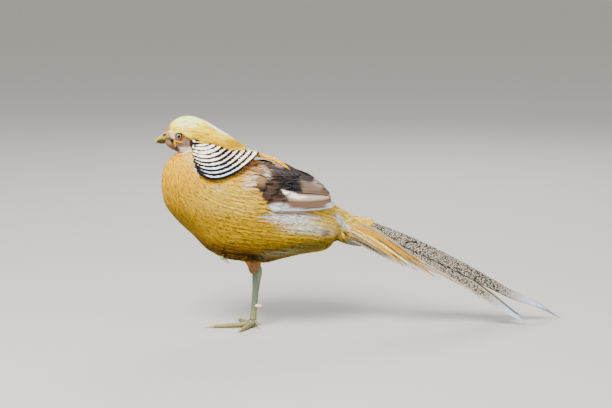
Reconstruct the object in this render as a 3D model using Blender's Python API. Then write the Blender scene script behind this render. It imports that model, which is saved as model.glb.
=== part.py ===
"""Golden pheasant cock of the yellow kind, a still model at life size.

It stands on its right leg with the left leg drawn up into the belly, and its tail tips rest on the floor.
Sizes here are millimetres. +Z is up, the bill points to -X and the bird's left side faces -Y.
The origin lies on the floor under the standing foot. Points in the bird's middle plane are (x, z).
"""
import math
import random

import bmesh
import bpy
from mathutils import Vector

MM = 0.001
GAP = 0.3
SEED = 23

# Body, from the nape to the tail: back point, front point, half width of each slanted ring
BODY_RINGS = [
    ((-63.0, 272.4), (-99.0, 253.5), 18.0),
    ((-43.2, 263.7), (-111.2, 250.0), 25.5),
    ((-23.4, 254.9), (-121.9, 238.7), 35.0),
    ((-3.6, 246.9), (-126.4, 222.2), 43.0),
    ((15.5, 241.7), (-126.7, 202.2), 49.5),
    ((34.8, 238.0), (-121.4, 180.5), 54.0),
    ((51.8, 231.0), (-106.1, 159.4), 57.0),
    ((67.2, 220.8), (-84.3, 138.1), 58.0),
    ((81.6, 210.8), (-58.1, 112.9), 57.0),
    ((94.5, 200.4), (-19.5, 103.6), 53.0),
    ((106.0, 190.2), (26.5, 99.3), 46.0),
    ((116.1, 180.8), (68.4, 106.8), 36.0),
    ((126.0, 172.0), (105.9, 112.9), 24.0),
    ((133.2, 166.5), (121.1, 126.7), 14.0),
]
NECK_END = 3.6
TORSO_END = 11.2
BODY_END = 13.0

# Head, from the nape forward to the bill: crown point, throat point, half width
HEAD_RINGS = [
    ((-63.0, 272.4), (-99.0, 253.5), 18.0),
    ((-70.5, 288.0), (-102.6, 255.6), 18.2),
    ((-82.0, 298.0), (-106.1, 257.8), 17.4),
    ((-95.0, 300.5), (-109.6, 259.3), 15.8),
    ((-106.0, 297.5), (-113.8, 261.4), 12.8),
    ((-114.0, 292.0), (-118.0, 265.0), 9.2),
    ((-118.2, 287.4), (-120.9, 268.2), 6.0),
]

# Crest, from the forehead to the tip behind the nape: top, lower edge at the side, half width
CREST_EDGES = [
    ((-119.0, 292.6), (-118.7, 288.2), 5.0),
    ((-111.0, 300.0), (-110.3, 288.0), 11.5),
    ((-99.8, 305.5), (-98.5, 286.0), 16.5),
    ((-85.7, 307.3), (-85.3, 278.0), 19.5),
    ((-70.3, 303.0), (-71.3, 275.5), 20.0),
    ((-54.8, 294.6), (-57.3, 274.0), 18.5),
    ((-39.4, 283.0), (-43.9, 269.0), 15.0),
    ((-23.9, 271.0), (-29.2, 262.0), 9.5),
    ((-9.1, 258.6), (-11.7, 255.2), 3.0),
]
CREST_CORE = (0.3, 6.0)
CREST_CORE_DEPTH = 2.4
CREST_ROWS = [(0.15, 4), (1.3, 6), (2.7, 6), (4.2, 5)]
CREST_LOCK = 3.6

# Cape of broad feathers round the nape and neck
CAPE_FRONT_X = -82.0
CAPE_FIRST = 0.14
CAPE_STEP = 0.54
CAPE_TIERS = 6
CAPE_WIDTH = 18.0
CAPE_LENGTH = 30.0
CAPE_RISE = (-1.2, 5.2)
CAPE_CLEARANCE = 7.3

# Wings, folded on the sides: the core's upper and lower edge as (x, upper z, lower z)
WING_CORE = [(8, 243, 226), (16, 244, 205), (26, 242, 190), (38, 239, 184), (50, 234, 182), (62, 226, 182),
             (74, 218, 183)]
WING_CORE_HEIGHT = 2.6
WING_SINK = 1.6

# Tail: top line of the roof that the feathers form, and the steepness of its sides
TAIL_TOP = [(128, 0, 168), (144, 0, 161), (185, 0, 149.5), (244, 2, 124), (303, 4, 94), (350, 6, 66.5),
            (388, 8, 44), (422, 12, 27.5), (448, 17, 9.5), (462, 20.5, 2.2)]
TAIL_SLOPE = math.radians(57.0)
TAIL_TIP_SLOPE = math.radians(30.0)
TAIL_RIDGE = 7.0
TAIL_LAYER = 1.25

# Eyes, lids and bill
EYE_PLACE = (-101.3, 280.2)
EYE_OUT = 10.9
EYE_RADIUS = 5.2
LID_OUT = 13.9
LAPPET = [(-107.2, 11.9, 274.0), (-108.2, 12.2, 270.4), (-107.7, 11.8, 266.2), (-106.9, 10.6, 261.6)]
LAPPET_RADII = [(1.2, 1.2), (1.8, 1.7), (1.6, 1.5), (0.5, 0.5)]
MOUTH_Z = 272.5
MOUTH_CORNER_X = -113.0

# Standing leg: the feathered part as (centre, half depth and half width), then hock, ankle and the bare
# shank's half depths at shares of its length
THIGH = [((-8.0, 13.0, 128.0), (24.0, 20.0)), ((-5.0, 11.0, 114.0), (20.0, 17.0)), ((-1.0, 9.2, 104.0), (13.5, 12.5)),
         ((2.6, 7.8, 96.0), (11.0, 9.8)), ((4.2, 6.9, 88.0), (9.2, 8.4)), ((4.7, 6.4, 82.0), (7.8, 7.0)),
         ((5.4, 6.1, 76.5), (4.2, 4.0))]
HOCK = Vector((9.2, 6.0, 90.0))
ANKLE = Vector((1.4, 0.5, 11.5))
SHANK_SHARES = (0.0, 0.03, 0.08, 0.14, 0.22, 0.42, 0.6, 0.8, 0.93, 1.0)
SHANK_DEPTHS = (3.6, 5.6, 6.8, 7.2, 6.7, 5.1, 4.6, 4.4, 5.0, 5.6)
SHANK_WIDE = 0.82
SPUR_SHARE = 0.75

# Toes of the standing foot: tip on the floor and length of the claw; the hind toe comes down steeply
TOES = {"middle": ((-54.5, -2.0), 13.4), "inner": ((-17.0, -27.5), 10.0), "outer": ((-16.0, 36.0), 9.6)}
TOE_RADIUS = 4.2
TOE_SINK = 0.8
HIND_TOE = [(3.6, -2.0, 9.6), (6.0, -4.6, 7.4), (7.8, -7.4, 4.4), (8.6, -8.8, 3.0)]
HIND_CLAW = [(8.2, -8.2, 3.8), (9.6, -10.4, 2.6), (10.6, -12.0, 1.2), (11.2, -13.0, 0.4)]

# Drawn-up left leg: hock, ankle, shank radii at shares of its length, and the three toes' place across
DRAWN_HOCK = Vector((20.0, -21.0, 105.5))
DRAWN_ANKLE = Vector((-30.0, -17.0, 110.5))
DRAWN_SHANK = [(0.0, 3.0), (0.08, 5.2), (0.3, 4.3), (0.6, 4.0), (0.9, 4.1), (0.985, 4.3)]
DRAWN_TOES = [(-6.0, -1.4), (0.0, 1.6), (5.6, 0.0)]

bird = bpy.data.collections.new("golden_pheasant")
tools = bpy.data.collections.new("cutters")


def clear_scene():
    """Remove every object and gather the new ones in two collections."""
    for old in list(bpy.data.objects):
        bpy.data.objects.remove(old, do_unlink=True)
    bpy.context.scene.collection.children.link(bird)
    bpy.context.scene.collection.children.link(tools)


def finish(name, colour, roughness=0.7, metallic=0.0):
    """A plain material of one colour."""
    material = bpy.data.materials.new(name)
    material.use_nodes = True
    shader = material.node_tree.nodes["Principled BSDF"]
    shader.inputs["Base Color"].default_value = (*colour, 1.0)
    shader.inputs["Roughness"].default_value = roughness
    shader.inputs["Metallic"].default_value = metallic
    material.diffuse_color = (*colour, 1.0)
    return material


def catmull(knots, t):
    """The point at t on a smooth curve through knots, whole numbers being the knots."""
    last = len(knots) - 1
    t = min(max(t, 0.0), float(last))
    i = min(int(t), last - 1)
    f = t - i
    b, c = knots[i], knots[i + 1]
    a = knots[i - 1] if i > 0 else [2 * p - q for p, q in zip(b, c)]
    d = knots[i + 2] if i + 2 <= last else [2 * q - p for p, q in zip(b, c)]
    return [0.5 * (2 * q + (r - p) * f + (2 * p - 5 * q + 4 * r - s) * f * f
                   + (3 * q - p - 3 * r + s) * f ** 3) for p, q, r, s in zip(a, b, c, d)]


class Skin:
    """A rounded surface through slanted rings, read by station along them and turn round them.

    Turn 0 is the back, 0.25 the bird's left side and 0.5 the front.
    """

    def __init__(self, rings):
        self.knots = [(*back, *front, half) for back, front, half in rings]
        self.last = len(rings) - 1

    def ring(self, station):
        """Centre, half axis towards the back and half width of the ring at a station."""
        bx, bz, fx, fz, half = catmull(self.knots, station)
        centre = Vector(((bx + fx) / 2, 0.0, (bz + fz) / 2))
        return centre, Vector(((bx - fx) / 2, 0.0, (bz - fz) / 2)), half

    def surface(self, station, turn):
        """The bare surface point."""
        centre, axis, half = self.ring(station)
        angle = 2 * math.pi * turn
        return centre + axis * math.cos(angle) + Vector((0.0, -half * math.sin(angle), 0.0))

    def slopes(self, station, turn):
        """How the surface point moves for one station and for one turn."""
        step = 0.02
        low, high = max(station - step, 0.0), min(station + step, float(self.last))
        along = (self.surface(high, turn) - self.surface(low, turn)) / (high - low)
        around = (self.surface(station, turn + step) - self.surface(station, turn - step)) / (2 * step)
        return along, around

    def normal(self, station, turn):
        """The outward direction."""
        along, around = self.slopes(station, turn)
        out = along.cross(around).normalized()
        return out if out.dot(self.surface(station, turn) - self.ring(station)[0]) > 0 else -out

    def point(self, station, turn, height=0.0):
        """The point at a height over the surface."""
        return self.surface(station, turn) + self.normal(station, turn) * height

    def step(self, station, turn, move):
        """The station and turn reached by a short move in millimetres along the surface."""
        along, around = self.slopes(station, turn)
        aa, ab, bb = along.dot(along), along.dot(around), around.dot(around)
        ma, mb = move.dot(along), move.dot(around)
        span = aa * bb - ab * ab
        return station + (ma * bb - mb * ab) / span, turn + (mb * aa - ma * ab) / span

    def side_place(self, x, z):
        """Station and turn of the left side's point that shows at (x, z) from the side."""
        def beyond(station):
            centre, axis, _ = self.ring(station)
            return axis.x * (z - centre.z) - axis.z * (x - centre.x)
        low, high = 0.0, float(self.last)
        for _ in range(40):
            mid = (low + high) / 2
            if beyond(mid) * beyond(0.0) > 0:
                low = mid
            else:
                high = mid
        centre, axis, _ = self.ring(low)
        share = ((x - centre.x) * axis.x + (z - centre.z) * axis.z) / axis.dot(axis)
        return low, math.acos(min(max(share, -0.985), 0.985)) / (2 * math.pi)

    def ring_points(self, station, spokes, shift=0.0, height=0.0):
        """One ring of points, moved by shift across its own plane towards later stations."""
        _, axis, _ = self.ring(station)
        across = Vector((axis.z, 0.0, -axis.x)).normalized()
        ahead = self.ring(min(station + 0.1, self.last))[0] - self.ring(max(station - 0.1, 0.0))[0]
        if across.dot(ahead) < 0:
            across = -across
        points = []
        for k in range(spokes):
            out = self.normal(station, k / spokes)
            out = (out - across * out.dot(across)).normalized()
            points.append(self.surface(station, k / spokes) + out * height + across * shift)
        return points


def closed_mesh(name, verts, faces, material=None, place=bird):
    """An object of one closed mesh, its faces turned outwards, from points in millimetres."""
    mesh = bpy.data.meshes.new(name)
    mesh.from_pydata([Vector(v) * MM for v in verts], [], faces)
    shape = bmesh.new()
    shape.from_mesh(mesh)
    bmesh.ops.recalc_face_normals(shape, faces=shape.faces)
    if shape.calc_volume(signed=True) < 0:
        bmesh.ops.reverse_faces(shape, faces=shape.faces)
    shape.to_mesh(mesh)
    shape.free()
    if material:
        mesh.materials.append(material)
    obj = bpy.data.objects.new(name, mesh)
    place.objects.link(obj)
    return obj


def loft(name, rings, material=None, place=bird):
    """A closed tube through rings of equal count, its two ends filled."""
    count = len(rings[0])
    verts = [p for ring in rings for p in ring]
    faces = []
    for i in range(len(rings) - 1):
        for j in range(count):
            k = (j + 1) % count
            faces.append((i * count + j, i * count + k, (i + 1) * count + k, (i + 1) * count + j))
    faces.append(tuple(range(count)))
    faces.append(tuple(range(len(verts) - count, len(verts))))
    return closed_mesh(name, verts, faces, material, place)


def tube(name, centres, radii, sides=8, material=None, place=bird):
    """A round bar through centre points, each with its radius along and across, ends rounded off."""
    rings = []
    count = len(centres)
    for i, centre in enumerate(centres):
        ahead = (centres[min(i + 1, count - 1)] - centres[max(i - 1, 0)]).normalized()
        across = ahead.cross(Vector((0.0, 1.0, 0.0)))
        if across.length < 0.2:
            across = ahead.cross(Vector((1.0, 0.0, 0.0)))
        across.normalize()
        aside = ahead.cross(across)
        deep, wide = radii[i] if isinstance(radii[i], tuple) else (radii[i], radii[i])
        rings.append([centre + across * deep * math.cos(a) + aside * wide * math.sin(a)
                      for a in (2 * math.pi * k / sides for k in range(sides))])
    return loft(name, rings, material, place)


def ball(name, centre, radii, rotation=0.0, segments=12, rings=8, material=None, place=tools):
    """A ball or egg, its long axis turned about Y."""
    shape = bmesh.new()
    bmesh.ops.create_uvsphere(shape, u_segments=segments, v_segments=rings, radius=1.0)
    turn_c, turn_s = math.cos(rotation), math.sin(rotation)
    for vert in shape.verts:
        x, y, z = (vert.co[k] * radii[k] for k in range(3))
        vert.co = (Vector((x * turn_c + z * turn_s, y, z * turn_c - x * turn_s)) + Vector(centre)) * MM
    mesh = bpy.data.meshes.new(name)
    shape.to_mesh(mesh)
    shape.free()
    if material:
        mesh.materials.append(material)
    obj = bpy.data.objects.new(name, mesh)
    place.objects.link(obj)
    return obj


def blade(sections, place=tools):
    """One feather vane: sections are (left, centre, right, up direction, thickness) in millimetres."""
    verts = []
    for left, centre, right, up, thick in sections:
        rise = up * (thick / 2)
        verts += [left + rise, centre + rise, right + rise, right - rise, centre - rise, left - rise]
    faces = [(0, 5, 4), (0, 4, 1), (1, 4, 3), (1, 3, 2)]
    for i in range(len(sections) - 1):
        a, b = 6 * i, 6 * i + 6
        faces += [(a, a + 1, b + 1), (a, b + 1, b), (a + 5, b + 4, a + 4), (a + 5, b + 5, b + 4)]
        faces += [(a + 1, a + 2, b + 1), (a + 2, b + 2, b + 1), (a + 4, b + 4, a + 3), (a + 3, b + 4, b + 3)]
        faces += [(a, b, b + 5), (a, b + 5, a + 5), (a + 2, a + 3, b + 3), (a + 2, b + 3, b + 2)]
    e = 6 * (len(sections) - 1)
    faces += [(e, e + 1, e + 4), (e, e + 4, e + 5), (e + 1, e + 2, e + 3), (e + 1, e + 3, e + 4)]
    return closed_mesh("vane", verts, faces, None, place)


def skin_vane(skin, places, heights, widths, thick, tilt=0.0):
    """A vane lying along places (station, turn) of a skin at heights over it.

    widths are half widths; tilt lifts the vane's left edge and lowers its right one by that much.
    """
    sections = []
    count = len(places)
    for i, (station, turn) in enumerate(places):
        ahead = skin.surface(*places[min(i + 1, count - 1)]) - skin.surface(*places[max(i - 1, 0)])
        up = skin.normal(station, turn)
        aside = up.cross(ahead).normalized()
        left = skin.step(station, turn, aside * widths[i])
        right = skin.step(station, turn, aside * -widths[i])
        height = heights[i]
        lean = tilt * widths[i] / max(widths)
        sections.append((skin.point(*left, height + lean), skin.point(station, turn, height + 0.25),
                         skin.point(*right, height - lean), up, thick if i < count - 1 else thick * 0.6))
    return blade(sections)


def walk(skin, station, turn, heading, length, steps):
    """Places reached by walking over the skin, heading being the angle off the rings' own direction."""
    places = [(station, turn)]
    for _ in range(steps):
        along, around = skin.slopes(station, turn)
        along = along.normalized()
        around = (around - along * around.dot(along)).normalized()
        move = (along * math.cos(heading) + around * math.sin(heading)) * (length / steps)
        station, turn = skin.step(station, turn, move)
        places.append((station, turn))
    return places


def applied(obj, modifier):
    """Make a modifier's result the object's own mesh."""
    graph = bpy.context.evaluated_depsgraph_get()
    mesh = bpy.data.meshes.new_from_object(obj.evaluated_get(graph))
    obj.modifiers.remove(modifier)
    obj.data = mesh


def keep_largest(obj):
    """Keep the largest closed surface of an object and drop every scrap and sealed hollow."""
    shape = bmesh.new()
    shape.from_mesh(obj.data)
    bmesh.ops.triangulate(shape, faces=shape.faces)
    shape.faces.ensure_lookup_table()
    left = set(shape.faces)
    groups = []
    while left:
        group, edge_of = [], [left.pop()]
        while edge_of:
            face = edge_of.pop()
            group.append(face)
            for edge in face.edges:
                for other in edge.link_faces:
                    if other in left:
                        left.remove(other)
                        edge_of.append(other)
        groups.append(group)
    groups.sort(key=lambda group: sum(face.calc_area() for face in group))
    scraps = [face for group in groups[:-1] for face in group]
    if scraps:
        bmesh.ops.delete(shape, geom=scraps, context="FACES")
        loose = [vert for vert in shape.verts if not vert.link_faces]
        bmesh.ops.delete(shape, geom=loose, context="VERTS")
    shape.to_mesh(obj.data)
    shape.free()


def fuse(obj, pieces, solver="MANIFOLD"):
    """Join closed pieces to an object as one closed body.

    The manifold solver takes many closed vanes at once and leaves the result closed.
    """
    group = bpy.data.collections.new(obj.name + "_pieces")
    bpy.context.scene.collection.children.link(group)
    for piece in pieces:
        group.objects.link(piece)
    join = obj.modifiers.new("join", "BOOLEAN")
    join.operation = "UNION"
    join.operand_type = "COLLECTION"
    join.collection = group
    join.solver = solver
    applied(obj, join)
    for piece in pieces:
        bpy.data.objects.remove(piece, do_unlink=True)
    bpy.data.collections.remove(group)
    keep_largest(obj)
    return obj


def cut(obj, cutter, solver="MANIFOLD"):
    """Take a cutter's space out of an object."""
    trim = obj.modifiers.new("trim", "BOOLEAN")
    trim.operation = "DIFFERENCE"
    trim.object = cutter
    trim.solver = solver
    applied(obj, trim)
    keep_largest(obj)
    return obj


def inflated(obj, gap=GAP):
    """A cutter of an object's own shape, larger by the gap all round."""
    mesh = obj.data.copy()
    shape = bmesh.new()
    shape.from_mesh(mesh)
    shape.normal_update()
    moves = [(vert, vert.normal * gap * MM * 1.08) for vert in shape.verts]
    for vert, move in moves:
        vert.co += move
    shape.to_mesh(mesh)
    shape.free()
    cutter = bpy.data.objects.new(obj.name + "_space", mesh)
    cutter.hide_render = True
    cutter.display_type = "WIRE"
    tools.objects.link(cutter)
    return cutter


def discard(*objects):
    """Remove cutters that have done their work."""
    for obj in objects:
        bpy.data.objects.remove(obj, do_unlink=True)


def body_piece(name, skin, start, end, rings, spokes, material):
    """A length of the body between two ring planes, each set back by half the gap."""
    lines = []
    for i in range(rings):
        station = start + (end - start) * i / (rings - 1)
        shift = GAP / 2 if i == 0 else (-GAP / 2 if i == rings - 1 else 0.0)
        lines.append(skin.ring_points(station, spokes, shift))
    return loft(name, lines, material)


def cape_vanes(skin, draw):
    """Broad square-tipped feathers in tiers from the nape down, staggered like roof tiles."""
    vanes = []
    for tier in range(CAPE_TIERS):
        station = CAPE_FIRST + CAPE_STEP * tier
        front = next(k / 200 for k in range(1, 100) if skin.surface(station, k / 200).x < CAPE_FRONT_X)
        arc = sum((skin.surface(station, front * (k + 1) / 20) - skin.surface(station, front * k / 20)).length
                  for k in range(20))
        count = max(5, round(2 * arc / CAPE_WIDTH))
        for k in range(count):
            share = (k + 0.5 + 0.25 * (-1) ** tier) / count
            turn = front * (2 * share - 1)
            length = CAPE_LENGTH * (0.8 + 0.05 * tier) * draw.uniform(0.95, 1.05)
            places = walk(skin, station, turn, 0.0, length, 3)
            half = CAPE_WIDTH / 2 * draw.uniform(0.8, 0.86)
            low, high = CAPE_RISE
            heights = [low + (high - low) * f for f in (0.0, 0.4, 0.75, 1.0)]
            vanes.append(skin_vane(skin, places, heights, [half * w for w in (0.6, 0.95, 1.0, 0.72)], 0.7))
    return vanes


def crest_locks(skin, draw):
    """Long silky locks of the crest, laid from the forehead back over the nape."""
    locks = []
    for station, count in CREST_ROWS:
        for k in range(count):
            turn = 0.235 * (2 * (k + 0.5) / count - 1) * (0.93 if count % 2 else 1.0)
            half = skin.ring(min(station + 1.2, skin.last))[2] * 1.22 / count
            reach = min(station + CREST_LOCK * draw.uniform(0.94, 1.04), 7.97)
            stations = [station + (reach - station) * f for f in (0.0, 0.33, 0.66, 1.0)]
            places = [(s, turn) for s in stations]
            heights = (-CREST_CORE_DEPTH - 0.9, -1.5, 0.0, 0.5)
            shape = (0.7, 1.0, 0.8, 0.16)
            room = [skin.ring(s)[2] / max(skin.ring(station + 1.0)[2], 1.0) for s in stations]
            widths = [max(half * w * min(r, 1.15), 0.5) for w, r in zip(shape, room)]
            locks.append(skin_vane(skin, places, heights, widths, 1.0))
    return locks


def eye_piece(name, side, material):
    """The eyeball."""
    centre = (EYE_PLACE[0], side * EYE_OUT, EYE_PLACE[1])
    obj = ball(name, centre, (EYE_RADIUS,) * 3, 0.0, 14, 8, material, bird)
    for polygon in obj.data.polygons:
        polygon.use_smooth = True
    return obj


def lid_ring(side):
    """Both lids as one almond ring, the upper one heavier."""
    rings = []
    count, sides = 14, 6
    for i in range(count):
        angle = 2 * math.pi * i / count
        outward = Vector((math.cos(angle), 0.0, math.sin(angle)))
        sit = LID_OUT - 0.35 * math.cos(2 * angle)
        centre = Vector((EYE_PLACE[0], side * sit, EYE_PLACE[1])) + Vector(
            (6.1 * math.cos(angle), 0.0, 5.1 * math.sin(angle)))
        thick = 1.15 + 0.3 * max(math.sin(angle), 0.0)
        rings.append([centre + outward * thick * math.cos(a) + Vector((0.0, thick * math.sin(a), 0.0))
                      for a in (2 * math.pi * k / sides for k in range(sides))])
    verts = [p for ring in rings for p in ring]
    faces = []
    for i in range(count):
        n = (i + 1) % count
        for j in range(sides):
            k = (j + 1) % sides
            faces.append((i * sides + j, i * sides + k, n * sides + k, n * sides + j))
    return closed_mesh("lids", verts, faces, None, tools)


def face_folds(side):
    """Bare skin of the face on one side: the fold under the eye and the hanging lappet."""
    x, z = EYE_PLACE
    fold = [Vector((x + 8.6 * math.cos(a), side * (13.6 - 1.6 * abs(math.cos(a))), z + 7.6 * math.sin(a)))
            for a in (math.radians(d) for d in (200, 225, 250, 275, 300, 325))]
    pieces = [tube("fold", fold, [0.5, 1.1, 1.3, 1.3, 1.1, 0.5], 6, None, tools)]
    lappet = [Vector((x, side * y, z)) for x, y, z in LAPPET]
    pieces.append(tube("lappet", lappet, LAPPET_RADII, 8, None, tools))
    return pieces


def build_head(body, draw, material):
    """Skull, face and crest as one body, with eye sockets and the line of the mouth cut in."""
    skin = Skin(HEAD_RINGS)
    head = body_piece("head", skin, 0.0, 6.0, 11, 20, material)
    crest = Skin([(top, (2 * edge[0] - top[0], 2 * edge[1] - top[1]), half)
                  for top, edge, half in CREST_EDGES])
    first, last = CREST_CORE
    core = [crest.ring_points(first + (last - first) * i / 8, 16, 0.0, -CREST_CORE_DEPTH) for i in range(9)]
    pieces = [loft("crest_core", core, None, tools)] + crest_locks(crest, draw)
    for side in (-1, 1):
        pieces.append(lid_ring(side))
        pieces += face_folds(side)
    fuse(head, pieces)
    cape_room = loft("cape_room", [body.ring_points(0.5 * i, 24, 0.0, CAPE_CLEARANCE) for i in range(11)],
                     None, tools)
    cut(head, cape_room)
    discard(cape_room)
    for side in (-1, 1):
        socket = ball("socket", (EYE_PLACE[0], side * EYE_OUT, EYE_PLACE[1]), (EYE_RADIUS + GAP * 1.3,) * 3,
                      0.0, 14, 8)
        cut(head, socket)
        discard(socket)
    mouth = loft("mouth", [[Vector((-126.0, y, MOUTH_Z + z)), Vector((-126.0, -y, MOUTH_Z + z)),
                            Vector((MOUTH_CORNER_X, -y, MOUTH_Z + z)), Vector((MOUTH_CORNER_X, y, MOUTH_Z + z))]
                           for y, z in ((20.0, -0.3), (20.0, 0.3))], None, tools)
    cut(head, mouth)
    discard(mouth)
    return head


def bill_half(name, sections, flat_top, material):
    """One half of the bill from slanted sections: top point, bottom point, half width."""
    rings = []
    for (tx, tz), (bx, bz), half in sections:
        ring = []
        for k in range(9):
            angle = math.pi * k / 8
            share = math.sin(angle)
            if flat_top:
                x, z = tx + (bx - tx) * share, tz + (bz - tz) * share
            else:
                x, z = bx + (tx - bx) * share, bz + (tz - bz) * share
            ring.append(Vector((x, half * math.cos(angle), z)))
        rings.append(ring)
    return loft(name, rings, material)


def build_bill(material):
    """Upper bill with its nostrils, over the lower bill."""
    upper = bill_half("bill_upper", [
        ((-118.6, 287.0), (-120.9, MOUTH_Z + 0.3), 5.4), ((-121.6, 286.0), (-123.0, MOUTH_Z + 0.2), 4.9),
        ((-125.0, 284.0), (-126.2, MOUTH_Z), 4.2), ((-129.0, 280.3), (-129.8, MOUTH_Z - 0.2), 3.4),
        ((-133.0, 276.2), (-133.2, MOUTH_Z - 0.7), 2.4), ((-135.8, 273.0), (-135.7, MOUTH_Z - 1.4), 1.4),
        ((-137.2, 271.0), (-137.0, MOUTH_Z - 2.1), 0.4)], False, material)
    lower = bill_half("bill_lower", [
        ((-121.3, MOUTH_Z - 0.2), (-121.7, 268.3), 4.9), ((-126.4, MOUTH_Z - 0.5), (-126.3, 268.3), 3.7),
        ((-130.4, MOUTH_Z - 0.9), (-130.2, 268.9), 2.7), ((-133.8, MOUTH_Z - 1.7), (-133.6, 269.5), 1.5),
        ((-135.3, MOUTH_Z - 2.1), (-135.2, 270.0), 0.5)], True, material)
    for side in (-1, 1):
        nostril = ball("nostril", (-122.6, side * 5.0, 280.6), (2.0, 1.9, 0.8), 0.25, 10, 6)
        cut(upper, nostril)
        discard(nostril)
    return upper, lower


def wing_slab(skin, side, material, name):
    """The wing's core under its coverts, lying on the body's side."""
    rows = []
    across = 6
    for x, high, low in WING_CORE:
        rows.append([(x, high + (low - high) * k / across) for k in range(across + 1)])
    verts = []
    for height in (WING_CORE_HEIGHT, -WING_SINK):
        for row in rows:
            for x, z in row:
                station, turn = skin.side_place(x, z)
                edge = 0.6 if height > 0 and (z in (row[0][1], row[-1][1]) or x in (WING_CORE[0][0],)) else 1.0
                verts.append(skin.point(station, -side * turn, height * edge))
    wide, many = across + 1, len(rows)
    faces = []
    for base in (0, wide * many):
        for i in range(many - 1):
            for j in range(across):
                a = base + i * wide + j
                quad = (a, a + 1, a + wide + 1, a + wide)
                faces.append(quad if base == 0 else tuple(reversed(quad)))
    rim = [i for i in range(wide)] + [i * wide + across for i in range(1, many)]
    rim += [(many - 1) * wide + j for j in range(across - 1, -1, -1)] + [i * wide for i in range(many - 2, 0, -1)]
    for a, b in zip(rim, rim[1:] + rim[:1]):
        faces.append((b, a, a + wide * many, b + wide * many))
    return closed_mesh(name, verts, faces, material)


def wing_vane(skin, side, start, end, half, heights, tilt, shape, bow=0.0, thick=0.7):
    """One wing feather between two points seen from the side, tilted so that its lower edge stands out."""
    count = len(heights)
    places = []
    for i in range(count):
        f = i / (count - 1)
        x = start[0] + (end[0] - start[0]) * f
        z = start[1] + (end[1] - start[1]) * f + bow * math.sin(math.pi * f)
        station, turn = skin.side_place(x, z)
        places.append((station, -side * turn))
    return skin_vane(skin, places, heights, [half * w for w in shape], thick, tilt * side)


def wing_feathers(skin, side, draw):
    """Every feather of one wing, from the flight feathers up to the scapulars."""
    vanes = []
    long_shape = (0.7, 1.0, 0.95, 0.3)
    short_shape = (0.7, 1.0, 1.0, 0.45)
    for k in range(4):
        start = (34.0 + 3.0 * k, 184.5 + 6.6 * k)
        end = (112.5 - 3.4 * k + draw.uniform(-1, 1), 181.0 + 5.2 * k)
        vanes.append(wing_vane(skin, side, start, end, 4.9, [1.2, 2.0, 2.2, 2.2], 1.1, long_shape, 1.5))
    for k in range(3):
        start = (46.0 + 4.0 * k, 211.0 + 8.6 * k)
        end = (103.0 - 8.0 * k + draw.uniform(-1, 1), 203.0 + 8.8 * k)
        vanes.append(wing_vane(skin, side, start, end, 6.2, [1.6, 3.4, 4.0, 4.0], 1.1, long_shape, 1.0))
    vanes.append(wing_vane(skin, side, (50.0, 233.5), (97.0, 213.0), 5.4, [1.2, 5.0, 7.0, 7.6], 0.6, long_shape, 1.5))
    for k in range(5):
        start = (17.0 + 4.0 * k, 194.0 + 7.4 * k)
        end = (40.0 + 6.8 * k + draw.uniform(-1, 1), 183.5 + 8.4 * k)
        vanes.append(wing_vane(skin, side, start, end, 4.9, [1.6, 4.0, 4.9, 5.0], 0.9, short_shape))
    for k in range(4):
        start = (11.0 + 6.0 * k, 212.0 + 6.6 * k)
        end = (31.0 + 8.4 * k + draw.uniform(-1, 1), 199.0 + 8.8 * k)
        vanes.append(wing_vane(skin, side, start, end, 5.6, [1.6, 4.8, 6.1, 6.3], 0.9, short_shape))
    for k in range(3):
        start = (11.0 + 8.6 * k, 232.0 + 3.0 * k)
        end = (29.0 + 11.0 * k + draw.uniform(-1, 1), 219.0 + 4.4 * k)
        vanes.append(wing_vane(skin, side, start, end, 6.2, [1.6, 5.2, 7.0, 7.3], 0.9, short_shape))
    return vanes


def build_wing(name, skin, side, draw, neighbours, material):
    """A folded wing fitted on the body's side; side is -1 on the bird's left."""
    wing = wing_slab(skin, side, material, name)
    fuse(wing, wing_feathers(skin, side, draw))
    for neighbour in neighbours:
        space = inflated(neighbour)
        cut(wing, space)
        discard(space)
    return wing


def tail_point(t, reach, side, height):
    """A point of the tail's roof: t along its top line, reach down its side, height over it."""
    x, y, z = catmull(TAIL_TOP, t)
    share = t / (len(TAIL_TOP) - 1)
    slope = TAIL_SLOPE + (TAIL_TIP_SLOPE - TAIL_SLOPE) * max(0.0, share - 0.72) / 0.28
    bend = TAIL_RIDGE * slope
    lean = min(reach / TAIL_RIDGE, slope)
    out = TAIL_RIDGE * math.sin(lean) + max(reach - bend, 0.0) * math.cos(slope)
    drop = TAIL_RIDGE * (1 - math.cos(lean)) + max(reach - bend, 0.0) * math.sin(slope)
    return Vector((x, y + side * (out + height * math.sin(lean)), z - drop + height * math.cos(lean)))


def tail_time(x):
    """Where along the top line the tail reaches a given x."""
    low, high = 0.0, len(TAIL_TOP) - 1.0
    for _ in range(40):
        mid = (low + high) / 2
        if catmull(TAIL_TOP, mid)[0] < x:
            low = mid
        else:
            high = mid
    return low


def tail_vane(side, x_root, x_tip, reach_root, reach_tip, half, layer, shape, thick=0.8):
    """One tail feather on the roof, from root to tip, kept off the floor by its own thickness."""
    sections = []
    count = len(shape)
    for i, share in enumerate(shape):
        f = i / (count - 1)
        t = tail_time(x_root + (x_tip - x_root) * f)
        reach = reach_root + (reach_tip - reach_root) * f ** 1.3
        width = half * share
        inner, outer = max(reach - width, 0.45), reach + width
        left = tail_point(t, inner, side, layer)
        right = tail_point(t, outer, side, layer)
        centre = tail_point(t, (inner + outer) / 2, side, layer + 0.4)
        up = (tail_point(t, reach, side, layer + 1.0) - tail_point(t, reach, side, layer)).normalized()
        depth = thick if i < count - 1 else thick * 0.5
        low = depth / 2 + 0.02
        for corner in (left, centre, right):
            corner.z = max(corner.z, low)
        sections.append((left, centre, right, up, depth))
    return blade(sections)


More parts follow.
